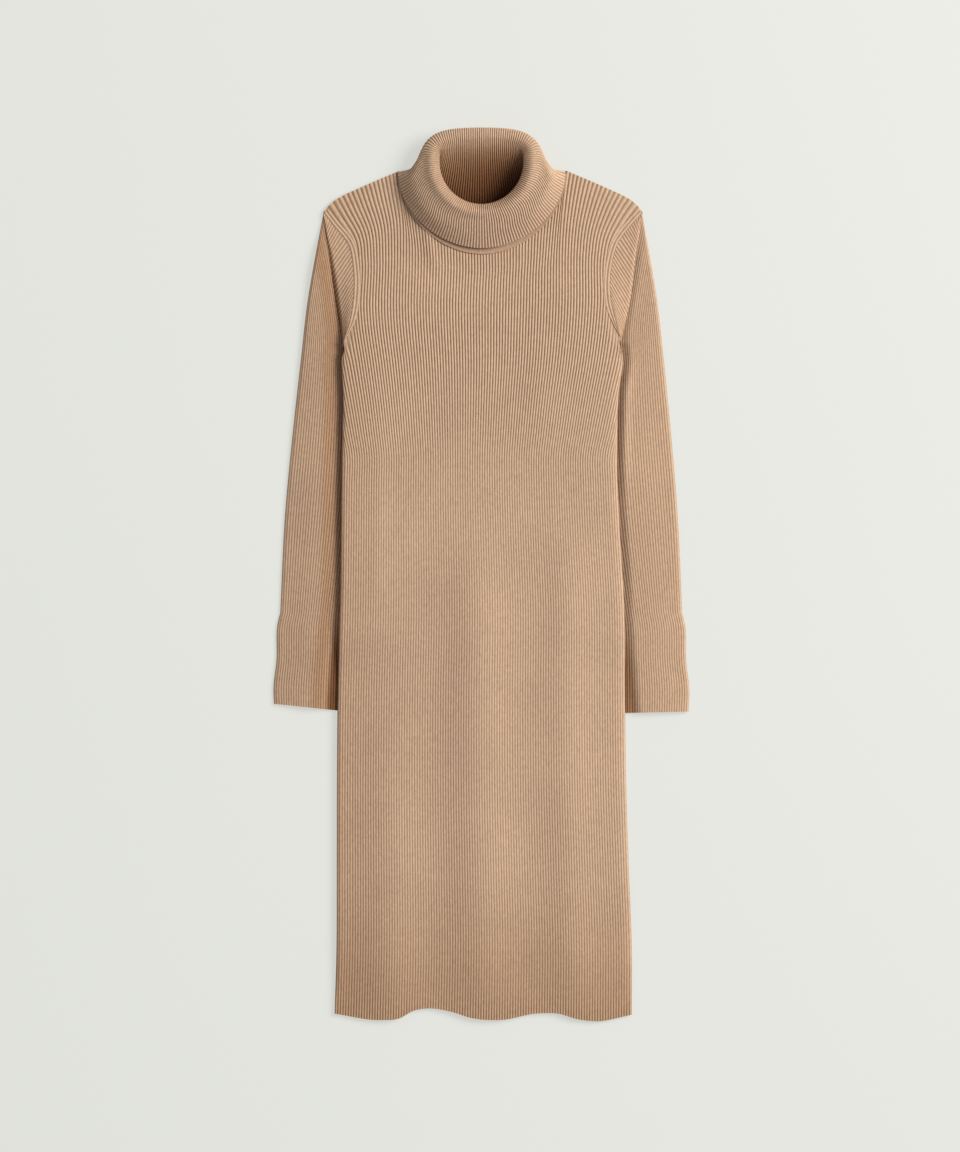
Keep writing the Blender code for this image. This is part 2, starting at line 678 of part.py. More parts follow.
def main():
    clear_scene()
    make_back()
    make_front()
    make_sleeves()
    make_neck_strip()
    make_collar()
    dress = bpy.data.objects.new("sweater_dress", None)
    bpy.context.scene.collection.objects.link(dress)
    for item in list(bpy.data.objects):
        if item is not dress:
            item.parent = dress


main()
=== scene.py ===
"""Camel rib-knit sweater dress with a rolled collar, laid flat on its back: its looks, on its CAD frame.

Shapes are worked out in millimetres, on grids, and go into the meshes in metres. +X is the wearer's
left, +Y points to the neck and +Z up from the surface that the dress lies on.
"""

from collections import namedtuple

import bmesh
import bpy
import numpy as np
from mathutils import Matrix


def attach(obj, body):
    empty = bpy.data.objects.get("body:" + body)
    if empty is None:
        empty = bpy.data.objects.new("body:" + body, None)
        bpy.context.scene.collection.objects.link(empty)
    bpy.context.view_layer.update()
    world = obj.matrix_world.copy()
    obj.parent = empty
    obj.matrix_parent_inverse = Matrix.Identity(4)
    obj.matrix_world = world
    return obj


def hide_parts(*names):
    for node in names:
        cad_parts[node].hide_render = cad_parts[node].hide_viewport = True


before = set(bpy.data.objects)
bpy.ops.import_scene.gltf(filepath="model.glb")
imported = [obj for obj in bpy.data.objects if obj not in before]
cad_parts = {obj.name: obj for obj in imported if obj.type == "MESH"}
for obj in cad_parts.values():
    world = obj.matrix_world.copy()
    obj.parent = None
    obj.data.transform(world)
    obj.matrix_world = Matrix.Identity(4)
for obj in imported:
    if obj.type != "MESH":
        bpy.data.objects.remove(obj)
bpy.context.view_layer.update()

# ================================================================ surface, light and camera
# A smooth matt board, one large soft lamp on the +X side, a little towards the neck, and an even white
# room. The camera hangs straight above the dress on a long lens, and the picture is printed with
# contrast.

MM = 0.001
FRAME_CENTRE = (-1.75, -1.0)
FRAME_HEIGHT = 1440.0
CAMERA_HEIGHT = 20000.0
SENSOR = 36.0
BOARD_SIDE = 9000.0
BOARD_DROP = 0.2  # below the dress, so that the two share no plane


def linear(colour, alpha=1.0):
    """Linear red, green, blue and alpha of an sRGB hex colour such as "#C8A584"."""
    parts = np.array([int(colour[place : place + 2], 16) for place in (1, 3, 5)]) / 255.0
    straight = np.where(parts <= 0.04045, parts / 12.92, ((parts + 0.055) / 1.055) ** 2.4)
    return (*straight.tolist(), alpha)


def add(tree, kind, inputs=None, **settings):
    """Adds a shader node with its settings. inputs maps a socket's name or number to its value, or to
    the output that is linked to it."""
    made = tree.nodes.new(kind)
    for name, value in settings.items():
        setattr(made, name, value)
    for key, value in (inputs or {}).items():
        if isinstance(value, bpy.types.NodeSocket):
            tree.links.new(value, made.inputs[key])
        else:
            made.inputs[key].default_value = value
    return made


camera_data = bpy.data.cameras.new("camera")
camera_data.sensor_width = SENSOR
camera_data.lens = SENSOR * CAMERA_HEIGHT / FRAME_HEIGHT
camera_data.clip_end = 100.0
camera = bpy.data.objects.new("camera", camera_data)
camera.location = (FRAME_CENTRE[0] * MM, FRAME_CENTRE[1] * MM, CAMERA_HEIGHT * MM)
bpy.context.scene.collection.objects.link(camera)
bpy.context.scene.camera = camera
bpy.context.scene.view_settings.view_transform = "Standard"
bpy.context.scene.view_settings.look = "Medium High Contrast"

LAMP_AWAY = 6.0  # metres
LAMP_LEAN, LAMP_TURN = np.radians(52.0), np.radians(22.0)
lamp_data = bpy.data.lights.new("soft_lamp", "AREA")
lamp_data.shape = "DISK"
lamp_data.size = 3.4
lamp_data.energy = 352.0
lamp_data.color = (1.0, 0.985, 0.96)
lamp = bpy.data.objects.new("soft_lamp", lamp_data)
lamp.location = LAMP_AWAY * np.array(
    [np.sin(LAMP_LEAN) * np.cos(LAMP_TURN), np.sin(LAMP_LEAN) * np.sin(LAMP_TURN), np.cos(LAMP_LEAN)]
)
lamp.rotation_euler = (0.0, LAMP_LEAN, LAMP_TURN)
lamp.visible_camera = False
bpy.context.scene.collection.objects.link(lamp)

room = bpy.data.worlds.new("white_room")
room.use_nodes = True
room.node_tree.nodes["Background"].inputs["Color"].default_value = linear("#F7F9FF")
room.node_tree.nodes["Background"].inputs["Strength"].default_value = 0.38
bpy.context.scene.world = room

# Board: a light table of opal plastic, sprayed matt. It glows evenly, so the shade on it stays faint.
board_paint = bpy.data.materials.new("matt_board_paint")
board_paint.use_nodes = True
board_tree = board_paint.node_tree
board_shader = board_tree.nodes["Principled BSDF"]
board_shader.inputs["Roughness"].default_value = 0.95
board_shader.inputs["Specular IOR Level"].default_value = 0.1
board_place = add(board_tree, "ShaderNodeTexCoord")
board_tone = add(
    board_tree,
    "ShaderNodeTexNoise",
    {"Vector": board_place.outputs["Object"], "Scale": 1.5, "Detail": 1.0},
)
board_colour = add(
    board_tree,
    "ShaderNodeMix",
    {0: board_tone.outputs[0], 6: linear("#7C7D7A"), 7: linear("#7E7F7C")},
    data_type="RGBA",
)
board_tree.links.new(board_colour.outputs[2], board_shader.inputs["Base Color"])
board_shader.inputs["Emission Color"].default_value = linear("#E6E7E1")
board_shader.inputs["Emission Strength"].default_value = 0.605

half_board = BOARD_SIDE / 2 * MM
board_corners = [
    (x * half_board, y * half_board, -BOARD_DROP * MM) for x, y in ((-1, -1), (1, -1), (1, 1), (-1, 1))
]
board_mesh = bpy.data.meshes.new("board")
board_mesh.from_pydata(board_corners, [], [(0, 1, 2, 3)])
board_mesh.materials.append(board_paint)
board = bpy.data.objects.new("board", board_mesh)
bpy.context.scene.collection.objects.link(board)

# ================================================================ front
# The front panel: 1x1 rib in a wool blend, knitted to shape from the hem up. Two plain fashioning ribs
# follow each armhole. It is linked to the back at the shoulders and sides.

CLOTH = 1.6  # the knit between its faces, without the ribs
RIB_RELIEF = 0.9
LAID_FLAT = 3.5  # the top of two plain walls on each other
POINTS_PER_RIB = 6
BODY_RIBS = 112
YOKE_RIBS = 88
UNDERARM_RIBS = 4  # on each side, start along the seam under the arm; the others enter at the side
YOKE_RIB_PITCH = 3.69
FAN_FOOT_Y = 150.0  # below this the ribs run straight down
FAN_PITCH = 4.4  # apart at the underarms, for ribs that enter below them
SIDE_FOLD = 1.2  # ribs that have not yet entered wait within this of the side
SIDE_ROLL = 4.0
SEAM_GAP = 0.3  # between the two panels at their sides
FRONT_BENDS = (5.0, 13.0)  # how far in from the right and the left side the front bends down to it
SLEEVE_CLEARANCE = 6.5
OVER_WRISTS = (-130.0, -62.0)  # where the body's sides climb from the board onto the sleeves
LOFT = 4.5  # air between the two panels
INSIDE_DEPTH = 0.5  # of the shade on a lining
NECK_RISE = 2.0
CENTRE_X = 1.1
NECK_SIDE_Y = 503.4
NECK_HALF_WIDTH = 107.8
STRIP_LIP = 4.0
SHOULDER_MIDDLE = 2.0
HEM_Y = -548.0

SideRow = namedtuple("SideRow", "y right left")
BODY_SIDES = (
    SideRow(-548.0, -183.4, 187.8),
    SideRow(-503.5, -181.7, 188.3),
    SideRow(-431.0, -181.0, 186.9),
    SideRow(-343.5, -180.7, 183.3),
    SideRow(-181.0, -180.1, 179.5),
    SideRow(-81.0, -178.0, 179.5),
    SideRow(-6.0, -175.7, 177.0),
    SideRow(69.0, -175.2, 172.0),
    SideRow(144.0, -174.2, 169.5),
    SideRow(219.0, -173.0, 170.8),
)

HemPoint = namedtuple("HemPoint", "x y")
HEM = (
    HemPoint(-183.4, -548.1),
    HemPoint(-125.5, -556.0),
    HemPoint(-101.7, -553.5),
    HemPoint(-86.0, -544.8),
    HemPoint(-67.5, -541.5),
    HemPoint(-38.6, -545.5),
    HemPoint(-12.2, -553.5),
    HemPoint(22.0, -556.0),
    HemPoint(72.0, -547.6),
    HemPoint(95.8, -548.1),
    HemPoint(119.5, -554.8),
    HemPoint(142.0, -557.5),
    HemPoint(187.8, -549.4),
)

Fold = namedtuple("Fold", "x y lean half_width height foot_y full_from full_to top_y")
FOLDS = (
    Fold(-117.0, -548.0, 0.010, 32.0, 4.2, -900.0, -800.0, -330.0, -60.0),
    Fold(0.0, -548.0, -0.015, 36.0, 5.2, -900.0, -800.0, -40.0, 75.0),
    Fold(113.0, -548.0, -0.015, 27.0, 3.2, -900.0, -800.0, -40.0, 110.0),
    Fold(-66.0, 420.0, -0.22, 8.0, 1.6, 372.0, 395.0, 425.0, 450.0),
    Fold(-128.0, 100.0, 0.03, 12.0, 0.8, -60.0, 20.0, 120.0, 210.0),
    Fold(72.0, 240.0, -0.10, 22.0, 0.9, 120.0, 200.0, 250.0, 330.0),
)

ArmholeRow = namedtuple("ArmholeRow", "right_x right_y left_x left_y")
ARMHOLE = (
    ArmholeRow(-197.6, 453.4, 201.6, 453.4),
    ArmholeRow(-186.0, 438.0, 189.9, 440.5),
    ArmholeRow(-165.5, 410.9, 170.0, 413.0),
    ArmholeRow(-160.5, 384.0, 163.5, 390.0),
    ArmholeRow(-162.1, 331.5, 162.9, 337.8),
)
UNDERARM = (
    ArmholeRow(-162.1, 331.5, 162.9, 337.8),
    ArmholeRow(-165.7, 313.5, 167.1, 321.0),
    ArmholeRow(-170.5, 298.0, 170.8, 307.8),
    ArmholeRow(-172.4, 290.0, 173.8, 298.2),
)

ShoulderPoint = namedtuple("ShoulderPoint", "out y")
SHOULDER = (
    ShoulderPoint(104.0, 505.6),
    ShoulderPoint(138.0, 491.2),
    ShoulderPoint(171.0, 476.5),
    ShoulderPoint(185.0, 469.0),
    ShoulderPoint(193.7, 461.0),
    ShoulderPoint(199.6, 453.4),
)

Neckline = namedtuple("Neckline", "depth exponent")
FRONT_NECK = Neckline(102.0, 1.95)

# Heights of the grid's key rows, between the hem and the underarms and from there to the shoulders.
PANEL_LEVELS = (-470.0, -370.0, -260.0, -150.0, -40.0, 50.0, 115.0, 150.0, 178.0, 206.0, 234.0, 260.0)
YOKE_LEVELS = (330.0, 384.0, 411.0, 438.0, 453.4)
LOWER_ROWS = 96  # grid rows from the hem to the underarms
YOKE_ROWS = 36  # and from there to the shoulders


def column(table, name):
    """One named column of a table, as an array."""
    return np.array([getattr(row, name) for row in table])


def smooth(start, end, value):
    """0 up to start, 1 from end on, and 3t^2 - 2t^3 between them."""
    share = np.clip((value - start) / (end - start), 0.0, 1.0)
    return share * share * (3.0 - 2.0 * share)


def mix(first, second, share):
    """first at share 0, second at share 1, and straight between them."""
    return first + (second - first) * share


def through(knots, values, at):
    """Smooth curve through the values at rising knots: cubic Hermite pieces whose end slopes are the
    averages of the slopes beside each knot. Values may be numbers, points or whole rows of a grid."""
    knots = np.asarray(knots, float)
    values = np.asarray(values, float)
    steps = np.diff(knots).reshape((-1,) + (1,) * (values.ndim - 1))
    slopes = np.diff(values, axis=0) / steps
    middle = (slopes[:-1] * steps[1:] + slopes[1:] * steps[:-1]) / (steps[:-1] + steps[1:])
    tangents = np.concatenate([slopes[:1], middle, slopes[-1:]])
    at = np.clip(np.asarray(at, float), knots[0], knots[-1])
    piece = np.clip(np.searchsorted(knots, at, side="right") - 1, 0, len(knots) - 2)
    step = np.diff(knots)[piece].reshape(at.shape + (1,) * (values.ndim - 1))
    t = (at - knots[piece]).reshape(step.shape) / step
    return (
        (2 * t**3 - 3 * t**2 + 1) * values[piece]
        + (t**3 - 2 * t**2 + t) * tangents[piece] * step
        + (3 * t**2 - 2 * t**3) * values[piece + 1]
        + (t**3 - t**2) * tangents[piece + 1] * step
    )


def side_x(y):
    """x of the body's right and left side at a height: smooth curves through the side and underarm
    rows."""
    heights = np.concatenate([column(BODY_SIDES, "y"), column(UNDERARM[::-1], "right_y")])
    return [
        through(heights, np.concatenate([column(BODY_SIDES, side), column(UNDERARM[::-1], side + "_x")]), y)
        for side in ("right", "left")
    ]


def inward(x, y):
    """Distance in from the nearer side."""
    low, high = side_x(y)
    return np.minimum(x - low, high - x)


def top_y(x, neck):
    """The upper edge of a panel: straight shoulder pieces, and between them a neckline that dips by
    depth times (1 - out^p)^(1/p)."""
    shoulder = np.interp(np.abs(x - SHOULDER_MIDDLE), column(SHOULDER, "out"), column(SHOULDER, "y"))
    out = np.abs(x - CENTRE_X) / (NECK_HALF_WIDTH - STRIP_LIP)
    dip = (1.0 - np.minimum(out, 1.0) ** neck.exponent) ** (1.0 / neck.exponent)
    return np.where(out < 1.0, NECK_SIDE_Y - (neck.depth - STRIP_LIP) * dip, shoulder)


def yoke_x(rib, low, high):
    """Across the yoke, from low to high: an even pitch, and the rest of the width spread by the cube
    of how far out a rib lies, so that the ribs flare beside the armholes."""
    out = rib / (YOKE_RIBS / 2)
    half = (high - low) / 2
    even = np.minimum(half, YOKE_RIB_PITCH * YOKE_RIBS / 2)
    return (low + high) / 2 + out * even + np.sign(out) * (half - even) * np.abs(out) ** 3.0


def waiting_place(rib, inset):
    """How far in from the side a rib waits that has not yet entered: in the outermost SIDE_FOLD."""
    return inset + SIDE_FOLD * (BODY_RIBS / 2 - np.abs(rib)) / ((BODY_RIBS - YOKE_RIBS) / 2)


def fanned_x(rib, y, inset):
    """x of the ribs at a height below the armholes. They run straight from an even spread at
    FAN_FOOT_Y to their places at the foot of the yoke, FAN_PITCH apart past the armholes. A rib that
    would lie beyond the side waits beside it."""
    low, high = side_x(y)
    yoke = YOKE_RIBS / 2
    even = mix(low + inset, high - inset, (rib - rib[0]) / (rib[-1] - rib[0]))
    spread = yoke_x(np.clip(rib, -yoke, yoke), UNDERARM[0].right_x, UNDERARM[0].left_x)
    spread += np.sign(rib) * np.maximum(np.abs(rib) - yoke, 0.0) * FAN_PITCH
    climb = np.clip((y - FAN_FOOT_Y) / (UNDERARM[0].right_y - FAN_FOOT_Y), 0.0, 1.0)
    waiting = waiting_place(rib, inset)
    return np.clip(mix(even, spread, climb), low + waiting, high - waiting)


def underarm_row(rib, inset):
    """The grid row at the foot of the yoke: level between the armholes, and along the seam down to
    each underarm for the ribs that start there. The others gather at the seam's end."""
    yoke = YOKE_RIBS / 2
    x = yoke_x(rib, UNDERARM[0].right_x, UNDERARM[0].left_x)
    y = mix(UNDERARM[0].right_y, UNDERARM[0].left_y, (rib + yoke) / (2 * yoke))
    past = np.minimum((np.abs(rib) - yoke) / UNDERARM_RIBS, 1.0)
    steps = np.linspace(0.0, 1.0, len(UNDERARM))
    for side, end in (("right", rib < -yoke), ("left", rib > yoke)):
        x = np.where(end, np.interp(past, steps, column(UNDERARM, side + "_x")), x)
        y = np.where(end, np.interp(past, steps, column(UNDERARM, side + "_y")), y)
    waiting = waiting_place(rib, inset)
    return np.clip(x, UNDERARM[-1].right_x + waiting, UNDERARM[-1].left_x - waiting), y


def panel_plan(rib, neck, inset):
    """x and y of a panel's grid, a row of ribs at a time: key rows at the hem, at fixed heights, at
    the underarms and up the armholes, and smooth curves through them along each rib."""
    spread, foot_y = underarm_row(rib, inset)
    hem_x = fanned_x(rib, HEM_Y, inset)
    rows = [(hem_x, through(column(HEM, "x"), column(HEM, "y"), hem_x))]
    for level in PANEL_LEVELS:
        rows.append((fanned_x(rib, level, inset), np.full(len(rib), level)))
    rows.append((spread, foot_y))
    across = (rib + YOKE_RIBS / 2) / YOKE_RIBS
    shoulder, foot = ARMHOLE[0], ARMHOLE[-1]
    top = top_y(yoke_x(rib, shoulder.right_x, shoulder.left_x), neck)
    for row in ARMHOLE[-2::-1]:
        climb_right = (row.right_y - foot.right_y) / (shoulder.right_y - foot.right_y)
        climb_left = (row.left_y - foot.left_y) / (shoulder.left_y - foot.left_y)
        climb = mix(climb_right, climb_left, across)
        rows.append((yoke_x(rib, row.right_x, row.left_x), mix(foot_y, top, climb)))
    keys = np.array([HEM_Y, *PANEL_LEVELS, *YOKE_LEVELS])
    lower = np.linspace(HEM_Y, YOKE_LEVELS[0], LOWER_ROWS + 1)
    yoke = np.linspace(YOKE_LEVELS[0], YOKE_LEVELS[-1], YOKE_ROWS + 1)[1:]
    plan = through(keys, np.array(rows), np.concatenate([lower, yoke]))
    beyond = np.abs(rib) > YOKE_RIBS / 2 + 0.01
    plan[LOWER_ROWS + 1 :, :, beyond] = np.nan
    return plan[:, 0], plan[:, 1]


def over_sleeve(x, y):
    """1 where the body's sides pass over a sleeve, 0 past the wrist and above the underarm."""
    foot = np.where(x < 0, UNDERARM[-1].right_y, UNDERARM[-1].left_y)
    return smooth(*OVER_WRISTS, y) * (1.0 - smooth(12.0, 39.0, y - foot))


def back_lift(x, y):
    """How far the back stands above the surface: only beside the sleeves that it passes over."""
    return SLEEVE_CLEARANCE * over_sleeve(x, y) * (1.0 - smooth(24.0, 50.0, inward(x, y)))


def front_loft(x, y):
    """How far the front stands above two walls on each other. It is as high at its sides as the
    sleeves lift it, sinks slowly towards the hem and the shoulders, and lies down round the neck."""
    at_sides = smooth(*OVER_WRISTS, y)
    between = 0.8 * smooth(-420.0, 60.0, y)
    lift = SLEEVE_CLEARANCE * mix(at_sides, between, smooth(24.0, 110.0, inward(x, y)))
    to_neck = np.hypot((x - CENTRE_X) / NECK_HALF_WIDTH, (y - NECK_SIDE_Y) / FRONT_NECK.depth)
    below_shoulders = (1.0 - smooth(320.0, 450.0, y)) * smooth(1.0, 1.6, to_neck)
    return (lift + LOFT * smooth(HEM_Y - 30.0, HEM_Y + 90.0, y)) * below_shoulders


def front_top(x, y):
    """The front's plain height: the pile of cloth and the air under it, the rise round the neck, and a
    bell-shaped ridge for each fold, which fades in and out along its length."""
    to_neck = np.hypot((x - CENTRE_X) / NECK_HALF_WIDTH, (y - NECK_SIDE_Y) / FRONT_NECK.depth)
    rise = NECK_RISE * (1.0 - smooth(1.0, 1.5, to_neck)) * (1.0 - smooth(400.0, 450.0, y))
    folds = np.zeros_like(x)
    for fold in FOLDS:
        ridge_x = fold.x + fold.lean * (y - fold.y)
        along = smooth(fold.foot_y, fold.full_from, y) * (1.0 - smooth(fold.full_to, fold.top_y, y))
        folds += fold.height * np.exp(-(((x - ridge_x) / fold.half_width) ** 2)) * along
    folds *= smooth(0.0, 30.0, inward(x, y)) * mix(0.6, 1.0, smooth(HEM_Y, HEM_Y + 60.0, y))
    return LAID_FLAT + front_loft(x, y) + rise + folds


def side_round(x, y, widths, inset):
    """Quarter of an ellipse from 0 at a side seam to 1 at its width from it, none above the armpit."""
    width = np.where(x < 0, *widths)
    reach = np.clip((inward(x, y) - inset) / (width - inset), 0.0, 1.0)
    quarter = np.sqrt(np.clip(1.0 - (1.0 - reach) ** 2, 0.0, 1.0))
    return mix(quarter, 1.0, smooth(262.0, 292.0, y))


def rib_profile(rib):
    """0 in the valley at each whole number and 1 on the crest halfway: the sine of the half turn
    between them, to the power 0.8, so the crest is full and the valley narrow."""
    return np.abs(np.sin(np.pi * rib)) ** 0.8


def panel_face(rib, neck, height, seam, bends, relief=None):
    """x, y, z of one face of a panel. height gives its level inside its sides, seam the height of the
    side seam above what it passes over, bends how far in from each side the face bends down to it, and
    relief the height of the ribs, which fades out where they lie too close. A face without relief is
    a lining: it has every second row and ends CLOTH inside the sides."""
    inset = 0.0 if relief else CLOTH
    x, y = panel_plan(rib, neck, inset)
    plan_x, plan_y = np.nan_to_num(x), np.nan_to_num(y)
    rounded = side_round(plan_x, plan_y, bends, inset)
    foot = SLEEVE_CLEARANCE * over_sleeve(plan_x, plan_y) + seam
    z = mix(foot, height(plan_x, plan_y), rounded)
    if relief:
        pitch = np.gradient(plan_x, axis=1) / (rib[1] - rib[0])
        fading = smooth(0.4, 1.8, pitch) * smooth(0.1, 0.6, rounded)
        z = z + relief(plan_x, plan_y) * rib_profile(rib) * fading
    face = np.stack([x, y, np.where(np.isnan(x), np.nan, z)], axis=-1)
    return face if relief else face[::2]


def knit_coordinates(face, rib, depth=0.0):
    """Pattern coordinates of a grid: the rib number across, the millimetres along each rib, and the
    depth of the shade in the knit's colour."""
    steps = np.linalg.norm(np.diff(np.nan_to_num(face), axis=0), axis=2)
    along = np.concatenate([np.zeros((1, face.shape[1])), np.cumsum(steps, axis=0)])
    return np.stack(np.broadcast_arrays(rib, along, depth), axis=-1)


def cells(numbers, wraps):
    """Four corners of each cell of a grid of point numbers. A missing point is -1."""
    if wraps:
        numbers = np.concatenate([numbers, numbers[:, :1]], axis=1)
    corners = np.stack(
        [numbers[:-1, :-1], numbers[:-1, 1:], numbers[1:, 1:], numbers[1:, :-1]], axis=-1
    ).reshape(-1, 4)
    return corners[(corners >= 0).all(axis=1)]


def rim(outer, inner, wraps):
    """Triangles that close the gap between the open edges of two grids, where the inner one has one
    point for every few of the outer one: a fan to each inner point, and one triangle between fans."""
    places = np.where(inner >= 0, np.arange(inner.size).reshape(inner.shape), -1)
    corners = cells(places, wraps)
    edges = np.stack([corners, np.roll(corners, -1, axis=1)], axis=-1).reshape(-1, 2)
    keys = edges[:, 0] * inner.size + edges[:, 1]
    turned = edges[:, 1] * inner.size + edges[:, 0]
    edges = edges[~np.isin(keys, turned)]
    columns = inner.shape[1]
    across = outer.shape[1] // columns if wraps else (outer.shape[1] - 1) // (columns - 1)
    down = (outer.shape[0] - 1) // (inner.shape[0] - 1)
    row, place = np.divmod(edges, columns)
    row_step = row[:, 1] - row[:, 0]
    column_step = place[:, 1] - place[:, 0]
    if wraps:
        column_step = (column_step + columns // 2) % columns - columns // 2
    faces = []
    for level, count in ((row_step == 0, across), (row_step != 0, down)):
        steps = np.arange(count + 1)
        on_row = row[level, :1] * down + row_step[level, None] * steps
        on_column = (place[level, :1] * across + column_step[level, None] * steps) % outer.shape[1]
        run = outer[on_row, on_column]
        ends = inner.ravel()[edges[level]]
        half = count // 2
        near = np.where(steps[:-1] < half, ends[:, :1], ends[:, 1:])
        faces.append(np.stack([run[:, 1:], run[:, :-1], near], axis=-1).reshape(-1, 3))
        faces.append(np.stack([run[:, half], ends[:, 0], ends[:, 1]], axis=-1))
    return np.concatenate(faces)


def cloth(name, shells, finish):
    """A mesh piece from closed shells of cloth. A shell is an outer and an inner grid, each with its
    pattern coordinates, and how many ribs go round it where its grids wrap round a tube, or else 0."""
    points, quads, triangles, pattern = [], [], [], []
    quad_ribs, triangle_ribs = [], []
    start = 0
    for outer, inner, ribs_round in shells:
        numbers = []
        for face, coordinates in (outer, inner):
            present = ~np.isnan(face[..., 0])
            grid = np.full(present.shape, -1)
            grid[present] = start + np.arange(present.sum())
            start += present.sum()
            numbers.append(grid)
            points.append(face[present])
            pattern.append(coordinates[present])
        wraps = ribs_round > 0
        walls = [cells(numbers[0], wraps), cells(numbers[1], wraps)[:, ::-1]]
        between = rim(numbers[0], numbers[1], wraps)
        quads += walls
        triangles.append(between)
        quad_ribs.append(np.full(sum(len(wall) for wall in walls), ribs_round))
        triangle_ribs.append(np.full(len(between), ribs_round))
    pattern = np.concatenate(pattern)
    corner_patterns = []
    for faces, ribs in ((quads, quad_ribs), (triangles, triangle_ribs)):
        corners = pattern[np.concatenate(faces)]
        round_it = np.concatenate(ribs)[:, None]
        across = corners[..., 0]
        spans = (across.max(axis=1) - across.min(axis=1))[:, None] > round_it / 2
        passed = spans & (round_it > 0) & (across < round_it / 2)
        corners[..., 0] = np.where(passed, across + round_it, across)
        corner_patterns.append(corners.reshape(-1, 3))
    mesh = bpy.data.meshes.new(name)
    walls = np.concatenate(quads).tolist()
    rims = np.concatenate(triangles).tolist()
    mesh.from_pydata((np.concatenate(points) * MM).tolist(), [], walls + rims)
    corner_patterns = np.concatenate(corner_patterns)
    layer = mesh.uv_layers.new(name="knit")
    layer.data.foreach_set("uv", corner_patterns[:, :2].ravel())
    depth = mesh.attributes.new("depth", "FLOAT", "CORNER")
    depth.data.foreach_set("value", corner_patterns[:, 2].copy())
    form = bmesh.new()
    form.from_mesh(mesh)
    bmesh.ops.recalc_face_normals(form, faces=form.faces[:])
    for face in form.faces[:][len(walls) :]:
        for edge in face.edges:
            edge.smooth = False
    form.to_mesh(mesh)
    form.free()
    mesh.polygons.foreach_set("use_smooth", np.ones(len(mesh.polygons), bool))
    mesh.materials.append(finish)
    piece = bpy.data.objects.new(name, mesh)
    bpy.context.scene.collection.objects.link(piece)
    return piece


# Rib knit: wool and viscose yarn, spun from fibres of several camel shades, so the colour is heathered.
# Knit ribs stand up, and the purl valleys between them are coloured darker: painted shade. The depth
# that a mesh carries is painted shade as well, and darkens the colour further. Its amounts are fitted
# by brightness, not worked out from the light. In folds it stands for light that comes only from other
# yarn. It is painted into the colour, so it stays under any light.
STITCH_HEIGHT = 2.4  # 1.7 on the real one, and drawn as coarse as it needs to be to show
DEEPENING = 1.3  # what depth 1 adds to the power that the colour is raised to
DIMMING = 0.31  # and what it takes from the brightness
FLECK, BATCH, FUZZ = 2.6, 90.0, 0.8  # the sizes of the three noises


def rib_knit(name, crest, valley, valley_width):
    """A knit material from the colours of its crests and valleys, and the width in ribs of the slope
    between them. The colour, to the power 1 + DEEPENING x depth, is multiplied by the tones of the
    flecks and the batch of yarn, and by 1 - DIMMING x depth."""
    material = bpy.data.materials.new(name)
    material.use_nodes = True
    tree = material.node_tree
    shader = tree.nodes["Principled BSDF"]

    def worked_out(operation, *values):
        return add(tree, "ShaderNodeMath", dict(enumerate(values)), operation=operation).outputs[0]

    def noise(vector, size, **inputs):
        sockets = {"Vector": vector, "Scale": 1 / (size * MM), "Detail": 2.0, **inputs}
        return add(tree, "ShaderNodeTexNoise", sockets).outputs[0]

    def tone_of(amount, darkest, lightest):
        sockets = {0: amount, 1: 0.3, 2: 0.7, 3: darkest, 4: lightest}
        return add(tree, "ShaderNodeMapRange", sockets).outputs[0]

    pattern = add(tree, "ShaderNodeUVMap", uv_map="knit")
    across, along, _ = add(tree, "ShaderNodeSeparateXYZ", {0: pattern.outputs[0]}).outputs
    out_of_valley = worked_out("PINGPONG", across, 0.5)
    sockets = {0: out_of_valley, 1: 0.0, 2: valley_width}
    crest_share = add(tree, "ShaderNodeMapRange", sockets, interpolation_type="SMOOTHSTEP")
    sockets = {0: crest_share.outputs[0], 6: linear(valley), 7: linear(crest)}
    rib_colour = add(tree, "ShaderNodeMix", sockets, data_type="RGBA")

    place = add(tree, "ShaderNodeTexCoord").outputs["Object"]
    drawn_out = add(tree, "ShaderNodeMapping", {0: place, 3: (1.0, 0.45, 1.0)})
    flecks = tone_of(noise(drawn_out.outputs[0], FLECK, Roughness=0.6), 0.9, 1.1)
    batch = tone_of(noise(place, BATCH), 0.97, 1.03)
    depth = add(tree, "ShaderNodeAttribute", attribute_name="depth").outputs["Fac"]
    power = worked_out("MULTIPLY_ADD", depth, DEEPENING, 1.0)
    dimmed = worked_out("MULTIPLY_ADD", depth, -DIMMING, 1.0)
    tone = worked_out("MULTIPLY", worked_out("MULTIPLY", flecks, batch), dimmed)
    deepened = add(tree, "ShaderNodeGamma", {0: rib_colour.outputs[2], 1: power})
    sockets = {0: deepened.outputs[0], "Scale": tone}
    colour = add(tree, "ShaderNodeVectorMath", sockets, operation="SCALE")
    tree.links.new(colour.outputs[0], shader.inputs["Base Color"])

    leg = worked_out("MULTIPLY_ADD", along, 1.0 / STITCH_HEIGHT, out_of_valley)
    surface = worked_out("MULTIPLY_ADD", noise(place, FUZZ), 0.7, worked_out("PINGPONG", leg, 0.5))
    bump = add(tree, "ShaderNodeBump", {"Strength": 0.5, "Distance": 0.35 * MM, "Height": surface})
    tree.links.new(bump.outputs[0], shader.inputs["Normal"])
    shader.inputs["Roughness"].default_value = 0.92
    shader.inputs["Specular IOR Level"].default_value = 0.25
    shader.inputs["Sheen Weight"].default_value = 0.2
    shader.inputs["Sheen Roughness"].default_value = 0.5
    shader.inputs["Sheen Tint"].default_value = linear("#F2DCC6")
    return material


# The second colour, for the purl valleys, is painted shade.
camel_rib = rib_knit("heathered_wool_rib_knit", "#C8AB91", "#A1846B", 0.3)

